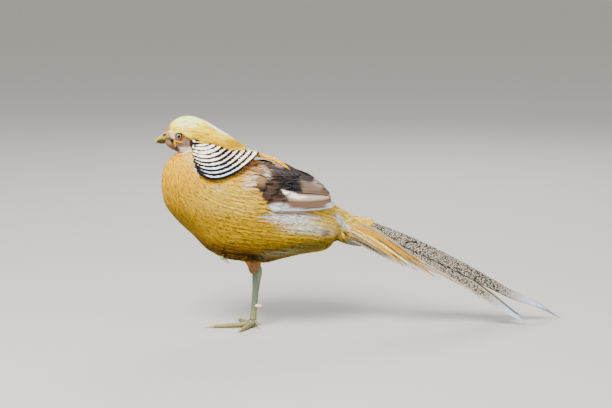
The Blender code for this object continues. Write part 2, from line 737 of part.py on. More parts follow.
def build_tail(skin, draw, material):
    """Tail root with its flight feathers in pairs and the narrow coverts over them."""
    end = skin.ring_points(BODY_END, 20, GAP / 2)
    rings = [end]
    for back, front, half in (((141.0, 161.5), (133.0, 122.0), 14.5), ((156.0, 153.5), (150.0, 118.0), 12.5),
                              ((176.0, 145.0), (173.0, 117.0), 8.0), ((192.0, 137.5), (191.0, 121.0), 3.0)):
        centre = Vector(((back[0] + front[0]) / 2, 0.0, (back[1] + front[1]) / 2))
        axis = Vector(((back[0] - front[0]) / 2, 0.0, (back[1] - front[1]) / 2))
        rings.append([centre + axis * math.cos(a) + Vector((0.0, -half * math.sin(a), 0.0))
                      for a in (2 * math.pi * k / 20 for k in range(20))])
    tail = loft("tail", rings, material)
    pairs = [
        (438.0, 461.0, 13.0, 6.5, 12.0, 9), (398.0, 404.0, 16.0, 44.0, 10.5, 8),
        (336.0, 342.0, 21.0, 38.0, 10.5, 7), (300.0, 304.0, 25.0, 37.0, 10.0, 6),
        (266.0, 270.0, 29.0, 44.0, 9.5, 6), (228.0, 232.0, 33.0, 49.0, 9.0, 5)]
    vanes = []
    for pair, (left_tip, right_tip, root, tip, half, count) in enumerate(pairs):
        shape = [min(1.0, 0.55 + 0.9 * k / (count - 1)) * (1 - (k / (count - 1)) ** 5 * 0.86)
                 for k in range(count)]
        for side, x_tip in ((-1, left_tip), (1, right_tip)):
            vanes.append(tail_vane(side, 146.0, x_tip, root, tip, half, -TAIL_LAYER * pair, shape))
    spikes = [(136.0, 258.0, 12.0, 55.0), (136.0, 222.0, 22.0, 60.0), (137.0, 240.0, 5.0, 38.0),
              (136.0, 200.0, 30.0, 58.0)]
    for k, (x_root, x_tip, root, tip) in enumerate(spikes):
        for side in (-1, 1):
            reach = x_tip + draw.uniform(-3.0, 3.0)
            vanes.append(tail_vane(side, x_root, reach, root, tip, 4.2, 2.0 + 1.3 * (k % 2),
                                   (0.9, 1.0, 1.0, 0.7, 0.12)))
    return fuse(tail, vanes)


def build_thigh(torso, shank, material):
    """The feathered leg from the belly down over the front of the hock."""
    thigh = tube("thigh_right", [Vector(centre) for centre, _ in THIGH], [radii for _, radii in THIGH], 14, material)
    for neighbour in (torso, shank):
        space = inflated(neighbour)
        cut(thigh, space)
        discard(space)
    return thigh


def build_shank(material):
    """The bare shank between hock and foot, with its spur on the inner side."""
    down = ANKLE - HOCK
    shank = tube("shank_right", [HOCK + down * share for share in SHANK_SHARES],
                 [(depth, depth * SHANK_WIDE) for depth in SHANK_DEPTHS], 12, material)
    root = HOCK + down * SPUR_SHARE
    spur = tube("spur", [root, root + Vector((4.6, -2.6, 0.6)), root + Vector((8.6, -4.6, 0.4)),
                         root + Vector((12.0, -6.2, 1.6))], [2.6, 2.3, 1.5, 0.3], 8, None, tools)
    return fuse(shank, [spur])


def toe(start, tip, claw_length):
    """One toe along the floor with its claw, its pads a little wider than its joints."""
    flat = tip - start
    length = flat.length
    ahead = flat.normalized()
    centres, radii = [start], [TOE_RADIUS]
    for k in range(1, 6):
        f = k / 5
        radius = TOE_RADIUS * (1.0 - 0.4 * f ** 1.5) * (1.05 if k % 2 else 0.95)
        settle = min(1.0, f * 2.2)
        height = start.z + (radius * TOE_SINK - start.z) * settle
        centres.append(start + ahead * length * f + Vector((0.0, 0.0, height - start.z)))
        radii.append(radius)
    end = centres[-1]
    claw = [end + ahead * claw_length * share + Vector((0.0, 0.0, rise))
            for share, rise in ((-0.12, 0.3), (0.3, 0.7), (0.7, 0.0), (1.0, -1.5))]
    return [tube("toe", centres, radii, 7, None, tools),
            tube("claw", claw, [2.0, 1.7, 1.1, 0.35], 5, None, tools)]


def block(low, high):
    """A large box between two heights."""
    corners = ((-120.0, -120.0), (120.0, -120.0), (120.0, 120.0), (-120.0, 120.0))
    return loft("block", [[Vector((x, y, z)) for x, y in corners] for z in (low, high)], None, tools)


def build_foot(material):
    """The standing foot: pad, three front toes and the hind toe, flat where they meet the floor."""
    foot = ball("foot_right", (-0.5, 0.2, 5.6), (7.6, 7.0, 7.2), 0.0, 14, 8, material, bird)
    start = Vector((0.0, 0.0, 5.0))
    pieces = []
    for (x, y), claw_length in TOES.values():
        pieces += toe(start, Vector((x, y, start.z)), claw_length)
    pieces.append(tube("hind_toe", [Vector(p) for p in HIND_TOE], [2.6, 2.5, 2.3, 2.0], 7, None, tools))
    pieces.append(tube("hind_claw", [Vector(p) for p in HIND_CLAW], [1.8, 1.5, 0.9, 0.35], 5, None, tools))
    fuse(foot, pieces)
    for low, high in ((-20.0, 0.0), (ANKLE.z - GAP, ANKLE.z + 20.0)):
        box = block(low, high)
        cut(foot, box)
        discard(box)
    return foot


def build_drawn_leg(material):
    """The left shank and the closed foot, drawn up under the belly so that only its claws hang out."""
    line = DRAWN_ANKLE - DRAWN_HOCK
    shank = tube("shank_left", [DRAWN_HOCK + line * share for share, _ in DRAWN_SHANK],
                 [radius for _, radius in DRAWN_SHANK], 10, material)
    foot = ball("foot_left", DRAWN_ANKLE + Vector((-5.2, 0.0, -0.3)), (5.0, 5.4, 5.0), 0.0, 12, 8, material, bird)
    base = DRAWN_ANKLE + Vector((-6.0, 0.0, -0.6))
    pieces = []
    for across, forward in DRAWN_TOES:
        knots = [base, base + Vector((-4.0 + forward, across * 0.6, -0.4)),
                 base + Vector((-5.6 + forward, across, -2.4)), base + Vector((-4.8 + forward, across, -4.6))]
        pieces.append(tube("toe", knots, [2.7, 2.6, 2.4, 2.1], 7, None, tools))
        tip = knots[-1]
        claw = [tip + Vector((-0.6, 0.0, 1.2)), tip + Vector((2.2, 0.0, -3.4)), tip + Vector((6.2, 0.0, -7.6))]
        pieces.append(tube("claw", claw, [1.5, 1.2, 0.3], 5, None, tools))
    fuse(foot, pieces)
    shank_room = inflated(shank)
    cut(foot, shank_room)
    discard(shank_room)
    return shank, foot


def shade(objects):
    """Shade the rounded pieces smooth, with sharp edges kept."""
    for obj in objects:
        obj.data.shade_smooth()
        obj.data.set_sharp_from_angle(angle=math.radians(40.0))


def main():
    """Build every sub-part."""
    clear_scene()
    draw = random.Random(SEED)
    gold = finish("golden_plumage", (0.78, 0.45, 0.08))
    lemon = finish("crest_plumage", (0.85, 0.7, 0.25))
    white = finish("cape_plumage", (0.8, 0.78, 0.72))
    brown = finish("wing_plumage", (0.35, 0.24, 0.17))
    grey = finish("tail_plumage", (0.42, 0.38, 0.33))
    horn = finish("bill_horn", (0.62, 0.5, 0.25), 0.4)
    scale = finish("leg_scales", (0.42, 0.46, 0.3), 0.55)
    eye = finish("eye_gloss", (0.25, 0.25, 0.12), 0.08)
    body = Skin(BODY_RINGS)

    torso = body_piece("torso", body, NECK_END, TORSO_END, 17, 28, gold)
    neck = body_piece("neck", body, 0.0, NECK_END, 7, 24, white)
    fuse(neck, cape_vanes(body, draw))
    rump = body_piece("rump", body, TORSO_END, BODY_END, 6, 24, gold)
    head = build_head(body, draw, lemon)
    build_bill(horn)
    for name, side in (("eye_left", -1), ("eye_right", 1)):
        eye_piece(name, side, eye)
    shank_left, foot_left = build_drawn_leg(scale)
    for part in (shank_left, foot_left):
        space = inflated(part)
        cut(torso, space)
        discard(space)
    build_thigh(torso, build_shank(scale), gold)
    build_foot(scale)
    for name, side in (("wing_left", -1), ("wing_right", 1)):
        build_wing(name, body, side, draw, (torso, rump), brown)
    build_tail(body, draw, grey)
    shade([torso, rump, head, shank_left])


main()
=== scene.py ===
"""Golden pheasant cock of the yellow kind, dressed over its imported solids.

Sizes are millimetres until a mesh is made. +Z is up, the bill points to -X and the bird's left
side faces -Y. The origin lies on the floor under the standing right foot. Points seen from the
side are (x, z).
"""

import logging
import math
from dataclasses import dataclass, field
from enum import Enum
from typing import Any, Callable

import bpy
import numpy as np
from mathutils import Matrix


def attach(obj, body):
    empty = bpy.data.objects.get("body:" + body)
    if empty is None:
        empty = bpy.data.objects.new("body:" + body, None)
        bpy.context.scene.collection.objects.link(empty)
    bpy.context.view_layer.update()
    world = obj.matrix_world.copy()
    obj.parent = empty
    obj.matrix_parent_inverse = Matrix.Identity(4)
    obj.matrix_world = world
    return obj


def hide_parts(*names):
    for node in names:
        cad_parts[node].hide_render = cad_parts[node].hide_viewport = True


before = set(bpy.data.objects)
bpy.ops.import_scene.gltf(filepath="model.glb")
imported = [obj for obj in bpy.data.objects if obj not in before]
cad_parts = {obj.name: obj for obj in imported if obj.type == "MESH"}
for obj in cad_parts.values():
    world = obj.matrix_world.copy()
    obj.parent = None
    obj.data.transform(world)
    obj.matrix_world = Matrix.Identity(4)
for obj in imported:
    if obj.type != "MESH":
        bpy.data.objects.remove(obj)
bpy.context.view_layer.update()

log = logging.getLogger("pheasant")
Array = np.ndarray
Pair = tuple[np.ndarray, np.ndarray]
Draw = np.random.Generator
MM = 0.001            # metres in a millimetre
BODY = "root"
SEED = 41
TRIALS = 6000         # places by which a stretch of skin is measured
CROWDING = 2.6        # roots tried for each square as wide as the spacing
HALVINGS = 26         # steps in the search for a place seen from the side

# The flesh from the bill to the tail's root: back point, front point, half width of each slanted ring
HEAD_RINGS = [
    ((-118.2, 287.4), (-120.9, 268.2), 6.0), ((-114.0, 292.0), (-118.0, 265.0), 9.2),
    ((-106.0, 297.5), (-113.8, 261.4), 12.8), ((-95.0, 300.5), (-109.6, 259.3), 15.8),
    ((-82.0, 298.0), (-106.1, 257.8), 17.4), ((-70.5, 288.0), (-102.6, 255.6), 18.2)]
BODY_RINGS = [
    ((-63.0, 272.4), (-99.0, 253.5), 18.0), ((-43.2, 263.7), (-111.2, 250.0), 25.5),
    ((-23.4, 254.9), (-121.9, 238.7), 35.0), ((-3.6, 246.9), (-126.4, 222.2), 43.0),
    ((15.5, 241.7), (-126.7, 202.2), 49.5), ((34.8, 238.0), (-121.4, 180.5), 54.0),
    ((51.8, 231.0), (-106.1, 159.4), 57.0), ((67.2, 220.8), (-84.3, 138.1), 58.0),
    ((81.6, 210.8), (-58.1, 112.9), 57.0), ((94.5, 200.4), (-19.5, 103.6), 53.0),
    ((106.0, 190.2), (26.5, 99.3), 46.0), ((116.1, 180.8), (68.4, 106.8), 36.0),
    ((126.0, 172.0), (105.9, 112.9), 24.0), ((133.2, 166.5), (121.1, 126.7), 14.0)]
STUB_RINGS = [((141.0, 161.5), (133.0, 122.0), 14.5), ((156.0, 153.5), (150.0, 118.0), 12.5),
              ((176.0, 145.0), (173.0, 117.0), 8.0), ((192.0, 137.5), (191.0, 121.0), 3.0)]
NAPE = float(len(HEAD_RINGS))
TAIL_ROOT = NAPE + len(BODY_RINGS) - 1.0

# The crest seen from the side: top edge, lower edge and half width
CREST_EDGES = [
    ((-119.0, 292.6), (-118.7, 288.2), 5.0), ((-111.0, 300.0), (-110.3, 288.0), 11.5),
    ((-99.8, 305.5), (-98.5, 286.0), 16.5), ((-85.7, 307.3), (-85.3, 278.0), 19.5),
    ((-70.3, 303.0), (-71.3, 274.5), 20.0), ((-54.8, 294.6), (-57.3, 271.5), 18.5),
    ((-39.4, 285.0), (-43.9, 266.0), 18.0), ((-23.9, 275.0), (-27.4, 259.0), 18.0),
    ((-5.4, 261.6), (-8.6, 252.0), 12.0)]

# The tail's top line: x, y and z
TAIL_TOP = [(128, 0, 168), (144, 0, 161), (185, 0, 149.5), (244, 2, 124), (303, 4, 94), (350, 6, 66.5),
            (388, 8, 44), (422, 12, 27.5), (448, 17, 9.5), (462, 20.5, 2.2)]


def linear(code: str) -> Array:
    """Linear red, green and blue of an sRGB hex colour."""
    srgb = np.array([int(code[i:i + 2], 16) for i in (1, 3, 5)]) / 255
    return np.where(srgb <= 0.04045, srgb / 12.92, ((srgb + 0.055) / 1.055) ** 2.4)


def smooth(x: Array) -> Array:
    """A soft step from 0 at 0 to 1 at 1."""
    x = np.clip(x, 0.0, 1.0)
    return x * x * (3 - 2 * x)


def blend(colour: Array, code: str, share: Array) -> Array:
    """Colours mixed with a hex colour, by shares from 0 to 1."""
    return colour * (1 - share) + linear(code) * share


def ring_grid(first: float, last: float, rings: int, spokes: int) -> Pair:
    """Stations from the first to the last, and turns, of points in rings."""
    return np.meshgrid(np.linspace(first, last, rings), np.arange(spokes) / spokes, indexing="ij")


def unit(vectors: Array) -> Array:
    """Vectors scaled to length 1."""
    return vectors / np.maximum(np.linalg.norm(vectors, axis=-1, keepdims=True), 1e-9)


def dot(a: Array, b: Array) -> Array:
    """Dot products along the last axis."""
    return np.sum(a * b, axis=-1)


def spline(knots: Array, t: Array) -> Array:
    """Points on a smooth curve through knots.

    Args:
        knots: One knot a row.
        t: Where to read the curve, whole numbers being the knots.

    Returns:
        The points, with the knots' numbers on the last axis.
    """
    last = len(knots) - 1
    rows = np.vstack([2 * knots[0] - knots[1], knots, 2 * knots[-1] - knots[-2]])
    t = np.clip(t, 0.0, last)
    i = np.minimum(t.astype(int), last - 1)
    f = (t - i)[..., None]
    a, b, c, d = rows[i], rows[i + 1], rows[i + 2], rows[i + 3]
    return 0.5 * (2 * b + (c - a) * f + (2 * a - 5 * b + 4 * c - d) * f ** 2
                  + (3 * b - a - 3 * c + d) * f ** 3)


class Surface:
    """A surface read by two coordinates. A subclass gives its bare points and which way is out."""

    last: float
    nudge: float

    def bare(self, s: Array, t: Array) -> Array:
        """The surface points."""
        raise NotImplementedError

    def outward(self, s: Array, t: Array) -> Array:
        """Rough directions to the outer side."""
        raise NotImplementedError

    def slopes(self, s: Array, t: Array) -> Pair:
        """How far the point moves for one step of either coordinate.

        Args:
            s: First coordinates.
            t: Second coordinates.

        Returns:
            The steps for s and for t.
        """
        s = np.clip(s, 0.0, self.last)
        low, high = np.maximum(s - 0.02, 0.0), np.minimum(s + 0.02, self.last)
        along = (self.bare(high, t) - self.bare(low, t)) / (high - low)[..., None]
        around = (self.bare(s, t + self.nudge) - self.bare(s, t - self.nudge)) / (2 * self.nudge)
        return along, around

    def normal(self, s: Array, t: Array) -> Array:
        """Outward directions."""
        out = unit(np.cross(*self.slopes(s, t)))
        return np.where(dot(out, self.outward(s, t))[..., None] < 0, -out, out)

    def point(self, s: Array, t: Array, lift: Array) -> Array:
        """The points at a height over the surface."""
        return self.bare(s, t) + self.normal(s, t) * lift[..., None]

    def moves(self, s: Array, t: Array, way: Array) -> Pair:
        """The change of both coordinates for one millimetre in a direction.

        Args:
            s: First coordinates.
            t: Second coordinates.
            way: Directions.

        Returns:
            The changes of s and of t.
        """
        along, around = self.slopes(s, t)
        aa, ab, bb = dot(along, along), dot(along, around), dot(around, around)
        ma, mb = dot(way, along), dot(way, around)
        span = np.maximum(aa * bb - ab * ab, 1e-6)
        return (ma * bb - mb * ab) / span, (mb * aa - ma * ab) / span

    def walk(self, s: Array, t: Array, heading: Array, length: Array, rows: int,
             flow: Callable | None = None) -> Pair:
        """Walk over the surface from each root.

        Args:
            s: First coordinate of each root.
            t: Second coordinate of each root.
            heading: Angle off the way.
            length: How far to walk.
            rows: Places wanted on each walk, the root being the first.
            flow: Gives the way at points; without it the way is the first coordinate's own.

        Returns:
            Both coordinates of the places, one root a row.
        """
        track_s, track_t = [s], [t]
        for _ in range(rows - 1):
            along, _ = self.slopes(s, t)
            out = self.normal(s, t)
            if flow is not None:
                along = flow(self.bare(s, t))
                along = along - out * dot(along, out)[..., None]
            ahead = unit(along)
            aside = np.cross(out, ahead)
            way = ahead * np.cos(heading)[:, None] + aside * np.sin(heading)[:, None]
            ds, dt = self.moves(s, t, way)
            s, t = s + ds * length / (rows - 1), t + dt * length / (rows - 1)
            track_s.append(s)
            track_t.append(t)
        return np.stack(track_s, axis=1), np.stack(track_t, axis=1)


class Skin(Surface):
    """A rounded surface through rings. Turn 0 is the back, 0.25 the bird's left and 0.5 the front."""

    nudge = 0.02

    def __init__(self, centres: Array, axes: Array, sides: Array) -> None:
        """Keep the rings' centres and their half axes towards the back and towards the left."""
        self.knots = np.hstack([centres, axes, sides]).astype(float)
        self.last = float(len(centres) - 1)

    @classmethod
    def slanted(cls, rings: list) -> "Skin":
        """The skin through rings given as back point, front point and half width.

        Args:
            rings: The rings' three values each.

        Returns:
            The skin.
        """
        flat = np.array([(*back, *front, half) for back, front, half in rings], float)
        zero = np.zeros(len(flat))
        centres = np.stack([(flat[:, 0] + flat[:, 2]) / 2, zero, (flat[:, 1] + flat[:, 3]) / 2], axis=1)
        axes = np.stack([(flat[:, 0] - flat[:, 2]) / 2, zero, (flat[:, 1] - flat[:, 3]) / 2], axis=1)
        return cls(centres, axes, np.stack([zero, -flat[:, 4], zero], axis=1))

    def bare(self, s: Array, t: Array) -> Array:
        """The surface points.

        Args:
            s: First coordinates.
            t: Second coordinates.

        Returns:
            The points.
        """
        knot = spline(self.knots, s)
        angle = (2 * math.pi * t)[..., None]
        return knot[..., :3] + knot[..., 3:6] * np.cos(angle) + knot[..., 6:9] * np.sin(angle)

    def outward(self, s: Array, t: Array) -> Array:
        """Rough directions to the outer side.

        Args:
            s: First coordinates.
            t: Second coordinates.

        Returns:
            The directions.
        """
        angle = (2 * math.pi * t)[..., None]
        knot = spline(self.knots, s)
        return knot[..., 3:6] * np.cos(angle) + knot[..., 6:9] * np.sin(angle)

    def side_place(self, x: Array, z: Array, low: float, high: float) -> Pair:
        """Station and turn of the left side's points that show at (x, z) from the side.

        Args:
            x: Places along the bird.
            z: Heights.
            low: First station searched.
            high: Last station searched.

        Returns:
            Stations and turns.
        """
        def beyond(station: Array) -> Array:
            """On which side of a ring the places lie, by its sign."""
            knot = spline(self.knots, station)
            return knot[..., 3] * (z - knot[..., 2]) - knot[..., 5] * (x - knot[..., 0])

        near, far = np.full(x.shape, low), np.full(x.shape, high)
        first = beyond(near)
        for _ in range(HALVINGS):
            mid = (near + far) / 2
            same = beyond(mid) * first > 0
            near, far = np.where(same, mid, near), np.where(same, far, mid)
        knot = spline(self.knots, near)
        share = (x - knot[..., 0]) * knot[..., 3] + (z - knot[..., 2]) * knot[..., 5]
        share = share / (knot[..., 3] ** 2 + knot[..., 5] ** 2)
        return near, np.arccos(np.clip(share, -0.985, 0.985)) / (2 * math.pi)


@dataclass
class Roof(Surface):
    """One half of the tail's roof: s runs along its top line, t in millimetres down its side."""

    side: int
    slope: float = math.radians(57.0)
    tip_slope: float = math.radians(30.0)
    ridge: float = 7.0
    last: float = float(len(TAIL_TOP) - 1)
    nudge: float = 0.5

    def parts(self, s: Array, t: Array) -> tuple[Array, Array, Array]:
        """The top line's points, the steepness of the side and how far round the ridge a point is.

        Args:
            s: First coordinates.
            t: Second coordinates.

        Returns:
            Points, steepness and lean.
        """
        top = spline(np.array(TAIL_TOP, float), s)
        steep = self.slope + (self.tip_slope - self.slope) * np.maximum(0.0, s / self.last - 0.72) / 0.28
        return top, steep, np.clip(t / self.ridge, 0.0, steep)

    def bare(self, s: Array, t: Array) -> Array:
        """The surface points.

        Args:
            s: First coordinates.
            t: Second coordinates.

        Returns:
            The points.
        """
        top, steep, lean = self.parts(s, t)
        straight = np.maximum(t - self.ridge * steep, 0.0) + np.minimum(t, 0.0)
        out = self.ridge * np.sin(lean) + straight * np.cos(np.where(t < 0, 0.0, steep))
        drop = self.ridge * (1 - np.cos(lean)) + straight * np.sin(np.where(t < 0, 0.0, steep))
        return np.stack([top[..., 0], top[..., 1] + self.side * out, top[..., 2] - drop], axis=-1)

    def outward(self, s: Array, t: Array) -> Array:
        """Rough directions to the outer side."""
        lean = self.parts(s, t)[2]
        return np.stack([0.3 + 0 * lean, self.side * np.sin(lean), np.cos(lean)], axis=-1)

    def time(self, x: Array) -> Array:
        """Where along the top line the tail reaches a given x."""
        grid = np.linspace(0.0, self.last, 400)
        return np.interp(x, spline(np.array(TAIL_TOP, float), grid)[:, 0], grid)


class WingSheet(Surface):
    """The outer face of a folded wing: s runs back along it, t from its top to its bottom."""

    nudge = 0.01

    def __init__(self, knots: tuple, side: int) -> None:
        """Keep the knots: x, top y, top z, middle y, bottom y and bottom z; side is -1 on the left.

        Args:
            knots: The knots.
            side: -1 on the bird's left, 1 on its right.
        """
        self.knots = np.array(knots, float)
        self.side = side
        self.last = float(len(knots) - 1)

    def bare(self, s: Array, t: Array) -> Array:
        """The surface points.

        Args:
            s: First coordinates.
            t: Second coordinates.

        Returns:
            The points.
        """
        x, top_y, top_z, mid_y, low_y, low_z = np.moveaxis(spline(self.knots, s), -1, 0)
        y = top_y * (1 - t) * (1 - 2 * t) + 4 * mid_y * t * (1 - t) + low_y * t * (2 * t - 1)
        return np.stack([x, self.side * y, top_z + (low_z - top_z) * t], axis=-1)

    def outward(self, s: Array, t: Array) -> Array:
        """Rough directions to the outer side."""
        return np.stack([0 * t, self.side + 0 * t, 0.8 - t], axis=-1)

    def place(self, x: Array, z: Array) -> Pair:
        """The coordinates of points that show at (x, z) from the side.

        Args:
            x: Places along the bird.
            z: Heights.

        Returns:
            First and second coordinates.
        """
        grid = np.linspace(0.0, self.last, 400)
        s = np.interp(x, spline(self.knots, grid)[:, 0], grid)
        knot = spline(self.knots, s)
        return s, np.clip((knot[..., 2] - z) / np.maximum(knot[..., 2] - knot[..., 5], 3.0), -0.05, 1.05)


@dataclass(frozen=True)
class Cut:
    """How a kind of feather is cut: its grid, its outline as shares of its half width, and its tip.

    ragged is how far single barbs end before or after the tip, as a share of the length, and
    round_off how far the corners of the tip stay back, as a share of the half width.
    """

    rows: int
    columns: int
    root: float = 0.4
    widest: float = 0.55
    tip: float = 0.35
    ragged: float = 0.08
    round_off: float = 0.6
    thick: float = 0.3
    camber: float = 0.12

    def shares(self) -> Array:
        """Places along the shaft in one row, from 0 at the root to 1 at the tip."""
        return np.linspace(0.0, 1.0, self.rows)[None]

    def outline(self, u: Array) -> Array:
        """Half width at shares of the length.

        Args:
            u: Shares of the length.

        Returns:
            Shares of the half width.
        """
        before = self.root + (1 - self.root) * smooth(u / self.widest)
        after = np.clip((u - self.widest) / (1 - self.widest), 0.0, 1.0)
        return np.where(u < self.widest, before, np.sqrt(1 - after ** 2 * (1 - self.tip ** 2)))

    def grid(self) -> tuple[Array, Array, Array, Array]:
        """The closed grid of one vane.

        Returns:
            Row of each point, place across from -1 to 1, 1 on the outer face, -1 on the inner face
            and 0 on the rim, and the faces.
        """
        count = self.rows * self.columns
        top = np.arange(count).reshape(self.rows, self.columns)
        under = top.copy()
        inner = top[1:-1, 1:-1].ravel()
        under[1:-1, 1:-1] = count + np.arange(inner.size).reshape(self.rows - 2, self.columns - 2)
        row, column = np.divmod(np.concatenate([top.ravel(), inner]), self.columns)
        across = 2 * column / (self.columns - 1) - 1
        face = np.zeros(count + inner.size)
        face[inner], face[count:] = 1.0, -1.0

        def quads(sheet: Array) -> Array:
            """The faces of a sheet of point numbers."""
            corners = [sheet[:-1, :-1], sheet[1:, :-1], sheet[1:, 1:], sheet[:-1, 1:]]
            return np.stack(corners, axis=-1).reshape(-1, 4)

        return row, across, face, np.vstack([quads(top), quads(under)[:, ::-1]])


@dataclass
class Feathers:
    """A group of laid feathers: points by feather, their place on the vane and their roots."""

    points: Array
    faces: Array
    normals: Array
    vane: Array
    along: Array
    across: Array
    roots: Array
    seeds: Array

    def shade(self, root: float) -> Array:
        """Painted shade, darker towards the root that lies under other feathers: a share at the root, 1 at
        the tip.
        """
        return (root + (1 - root) * self.along)[None, :, None]


def lay(surface: Surface, s: Array, t: Array, half: Array, lift: Array, cut: Cut,
        draw: Draw, tilt: float = 0.0, floor: float | None = None) -> Feathers:
    """Lay closed vanes along places on a surface.

    Args:
        surface: What the feathers lie on.
        s: First coordinate of the shafts' places, one feather a row, from root to tip.
        t: Second coordinate of the same places.
        half: Half width of each feather.
        lift: Height of the shafts over the surface at the same places.
        cut: The feathers' kind.
        draw: The random draw.
        tilt: How far one edge stands higher than the shaft.
        floor: The lowest height a point may have.

    Returns:
        The feathers.
    """
    row, across, face, faces = cut.grid()
    shafts = surface.bare(s, t)
    ahead = unit(np.gradient(shafts, axis=1))
    aside = np.cross(surface.normal(s, t), ahead)
    side_s, side_t = surface.moves(s, t, unit(aside))
    on_s, on_t = surface.moves(s, t, ahead)
    length = np.sum(np.linalg.norm(np.diff(shafts, axis=1), axis=-1), axis=1)
    u = row / (cut.rows - 1)
    wide = across * half[:, None] * cut.outline(u)
    reach = draw.normal(0.0, cut.ragged, (len(s), cut.columns)) * length[:, None]
    column = np.round((across + 1) / 2 * (cut.columns - 1)).astype(int)
    tip = smooth((u - 0.6) / 0.4)
    extra = reach[:, column] * tip ** 3 - cut.round_off * half[:, None] * across ** 2 * tip
    vs = s[:, row] + wide * side_s[:, row] + extra * on_s[:, row]
    vt = t[:, row] + wide * side_t[:, row] + extra * on_t[:, row]
    body = cut.thick / 2 * face * (1 - 0.7 * across ** 2)
    high = lift[:, row] + body - cut.camber * half[:, None] * across ** 2 + tilt * across
    out = surface.normal(vs, vt)
    points = surface.bare(vs, vt) + out * high[..., None]
    if floor is not None:
        low = floor + np.where(face > 0, cut.thick, np.where(face < 0, 0.0, cut.thick / 2))
        points[..., 2] = np.maximum(points[..., 2], low)
    vane = np.stack([wide, length[:, None] * (1 - u) - extra], axis=-1)
    return Feathers(points, faces, out * np.where(face < 0, -1.0, 1.0)[:, None], vane, u, across,
                    np.stack([s[:, 0], t[:, 0]], axis=1), draw.random(len(s)))


def scatter(surface: Surface, stations: tuple[float, float], turns: tuple[float, float],
            spacing: Callable, draw: Draw) -> Pair:
    """Roots strewn evenly over a stretch of skin.

    Args:
        surface: The skin.
        stations: First and last station.
        turns: First and last turn.
        spacing: Gives the smallest distance at stations and turns; 0 means bare.
        draw: The random draw.

    Returns:
        Stations and turns of the roots.
    """
    s, t = draw.uniform(*stations, TRIALS), draw.uniform(*turns, TRIALS)
    area = np.linalg.norm(np.cross(*surface.slopes(s, t)), axis=-1)
    gap = spacing(s, t)
    span = (stations[1] - stations[0]) * (turns[1] - turns[0])
    room = np.mean(np.where(gap > 0, area / np.maximum(gap, 0.3) ** 2, 0.0))
    wanted = int(CROWDING * span * room / np.mean(area / area.max()))
    s, t = draw.uniform(*stations, wanted), draw.uniform(*turns, wanted)
    gap = spacing(s, t)
    weight = np.linalg.norm(np.cross(*surface.slopes(s, t)), axis=-1)
    chosen = (draw.random(wanted) < weight / area.max()) & (gap > 0)
    s, t, gap = s[chosen], t[chosen], gap[chosen]
    places = surface.bare(s, t)
    cell = max(gap.max(), 0.5)
    cells: dict[tuple[int, int, int], list[tuple[float, float, float]]] = {}
    kept = []
    steps = [(i, j, k) for i in (-1, 0, 1) for j in (-1, 0, 1) for k in (-1, 0, 1)]
    for number, ((x, y, z), near) in enumerate(zip(places.tolist(), (gap ** 2).tolist())):
        a, b, c = int(x // cell), int(y // cell), int(z // cell)
        around = (spot for i, j, k in steps for spot in cells.get((a + i, b + j, c + k), ()))
        if all((px - x) ** 2 + (py - y) ** 2 + (pz - z) ** 2 >= near for px, py, pz in around):
            cells.setdefault((a, b, c), []).append((x, y, z))
            kept.append(number)
    return s[kept], t[kept]


@dataclass(frozen=True)
class Patch:
    """A soft patch of colour seen from the side: centre, reach, colour, strength and lean in degrees."""

    x: float
    z: float
    wide: float
    high: float
    colour: str
    strength: float = 1.0
    soft: float = 0.6
    lean: float = 0.0

    def share(self, points: Array) -> Array:
        """How much of the patch's colour the points take.

        Args:
            points: Points in millimetres.

        Returns:
            The shares.
        """
        c, s = math.cos(math.radians(self.lean)), math.sin(math.radians(self.lean))
        dx, dz = points[..., 0] - self.x, points[..., 2] - self.z
        far = np.hypot((dx * c + dz * s) / self.wide, (dz * c - dx * s) / self.high)
        return self.strength * smooth((1 + self.soft / 2 - far) / self.soft)


def paint(points: Array, base: str, patches: list[Patch]) -> Array:
    """Colours of points from a base colour and the patches laid over it in order.

    Args:
        points: Points in millimetres.
        base: Hex colour under the patches.
        patches: The patches.

    Returns:
        A colour a point.
    """
    colour = np.broadcast_to(linear(base), points.shape)
    for patch in patches:
        colour = blend(colour, patch.colour, patch.share(points)[..., None])
    return colour


def add_node(tree: bpy.types.NodeTree, kind: str, settings: dict | None = None,
             links: dict | None = None) -> bpy.types.Node:
    """Add one node with its settings and links.

    Args:
        tree: The material's node tree.
        kind: Blender's name of the node type, without its first part ShaderNode.
        settings: Values by attribute name, or by input name or number.
        links: Output sockets by input name or number; a node stands for its first output.

    Returns:
        The node.
    """
    node = tree.nodes.new("ShaderNode" + kind)
    for key, value in (settings or {}).items():
        if isinstance(key, str) and hasattr(node, key):
            setattr(node, key, value)
        else:
            node.inputs[key].default_value = value
    for key, source in (links or {}).items():
        socket = source.outputs[0] if isinstance(source, bpy.types.Node) else source
        tree.links.new(socket, node.inputs[key])
    return node


def new_material(name: str) -> tuple[bpy.types.Material, bpy.types.Node, bpy.types.Node]:
    """Start a material that takes its colour from the points.

    Args:
        name: The material's name.

    Returns:
        The material, its shader, and the node that reads the colours.
    """
    material = bpy.data.materials.new(name)
    material.use_nodes = True
    tint = add_node(material.node_tree, "Attribute", {"attribute_name": "tint"})
    return material, material.node_tree.nodes["Principled BSDF"], tint


def set_inputs(shader: bpy.types.Node, values: dict[str, Any]) -> None:
    """Set a shader's inputs by their names."""
    for name, value in values.items():
        shader.inputs[name].default_value = value


class Grain(Enum):
    """How the barbs lie: loose and lengthwise, or closed and slanting off the shaft."""

    SILKY = "silky"
    BARBED = "barbed"


class Marking(Enum):
    """The dark marking drawn on a vane."""

    NONE = "none"
    BAND = "band"
    NET = "net"
    BARS = "bars"


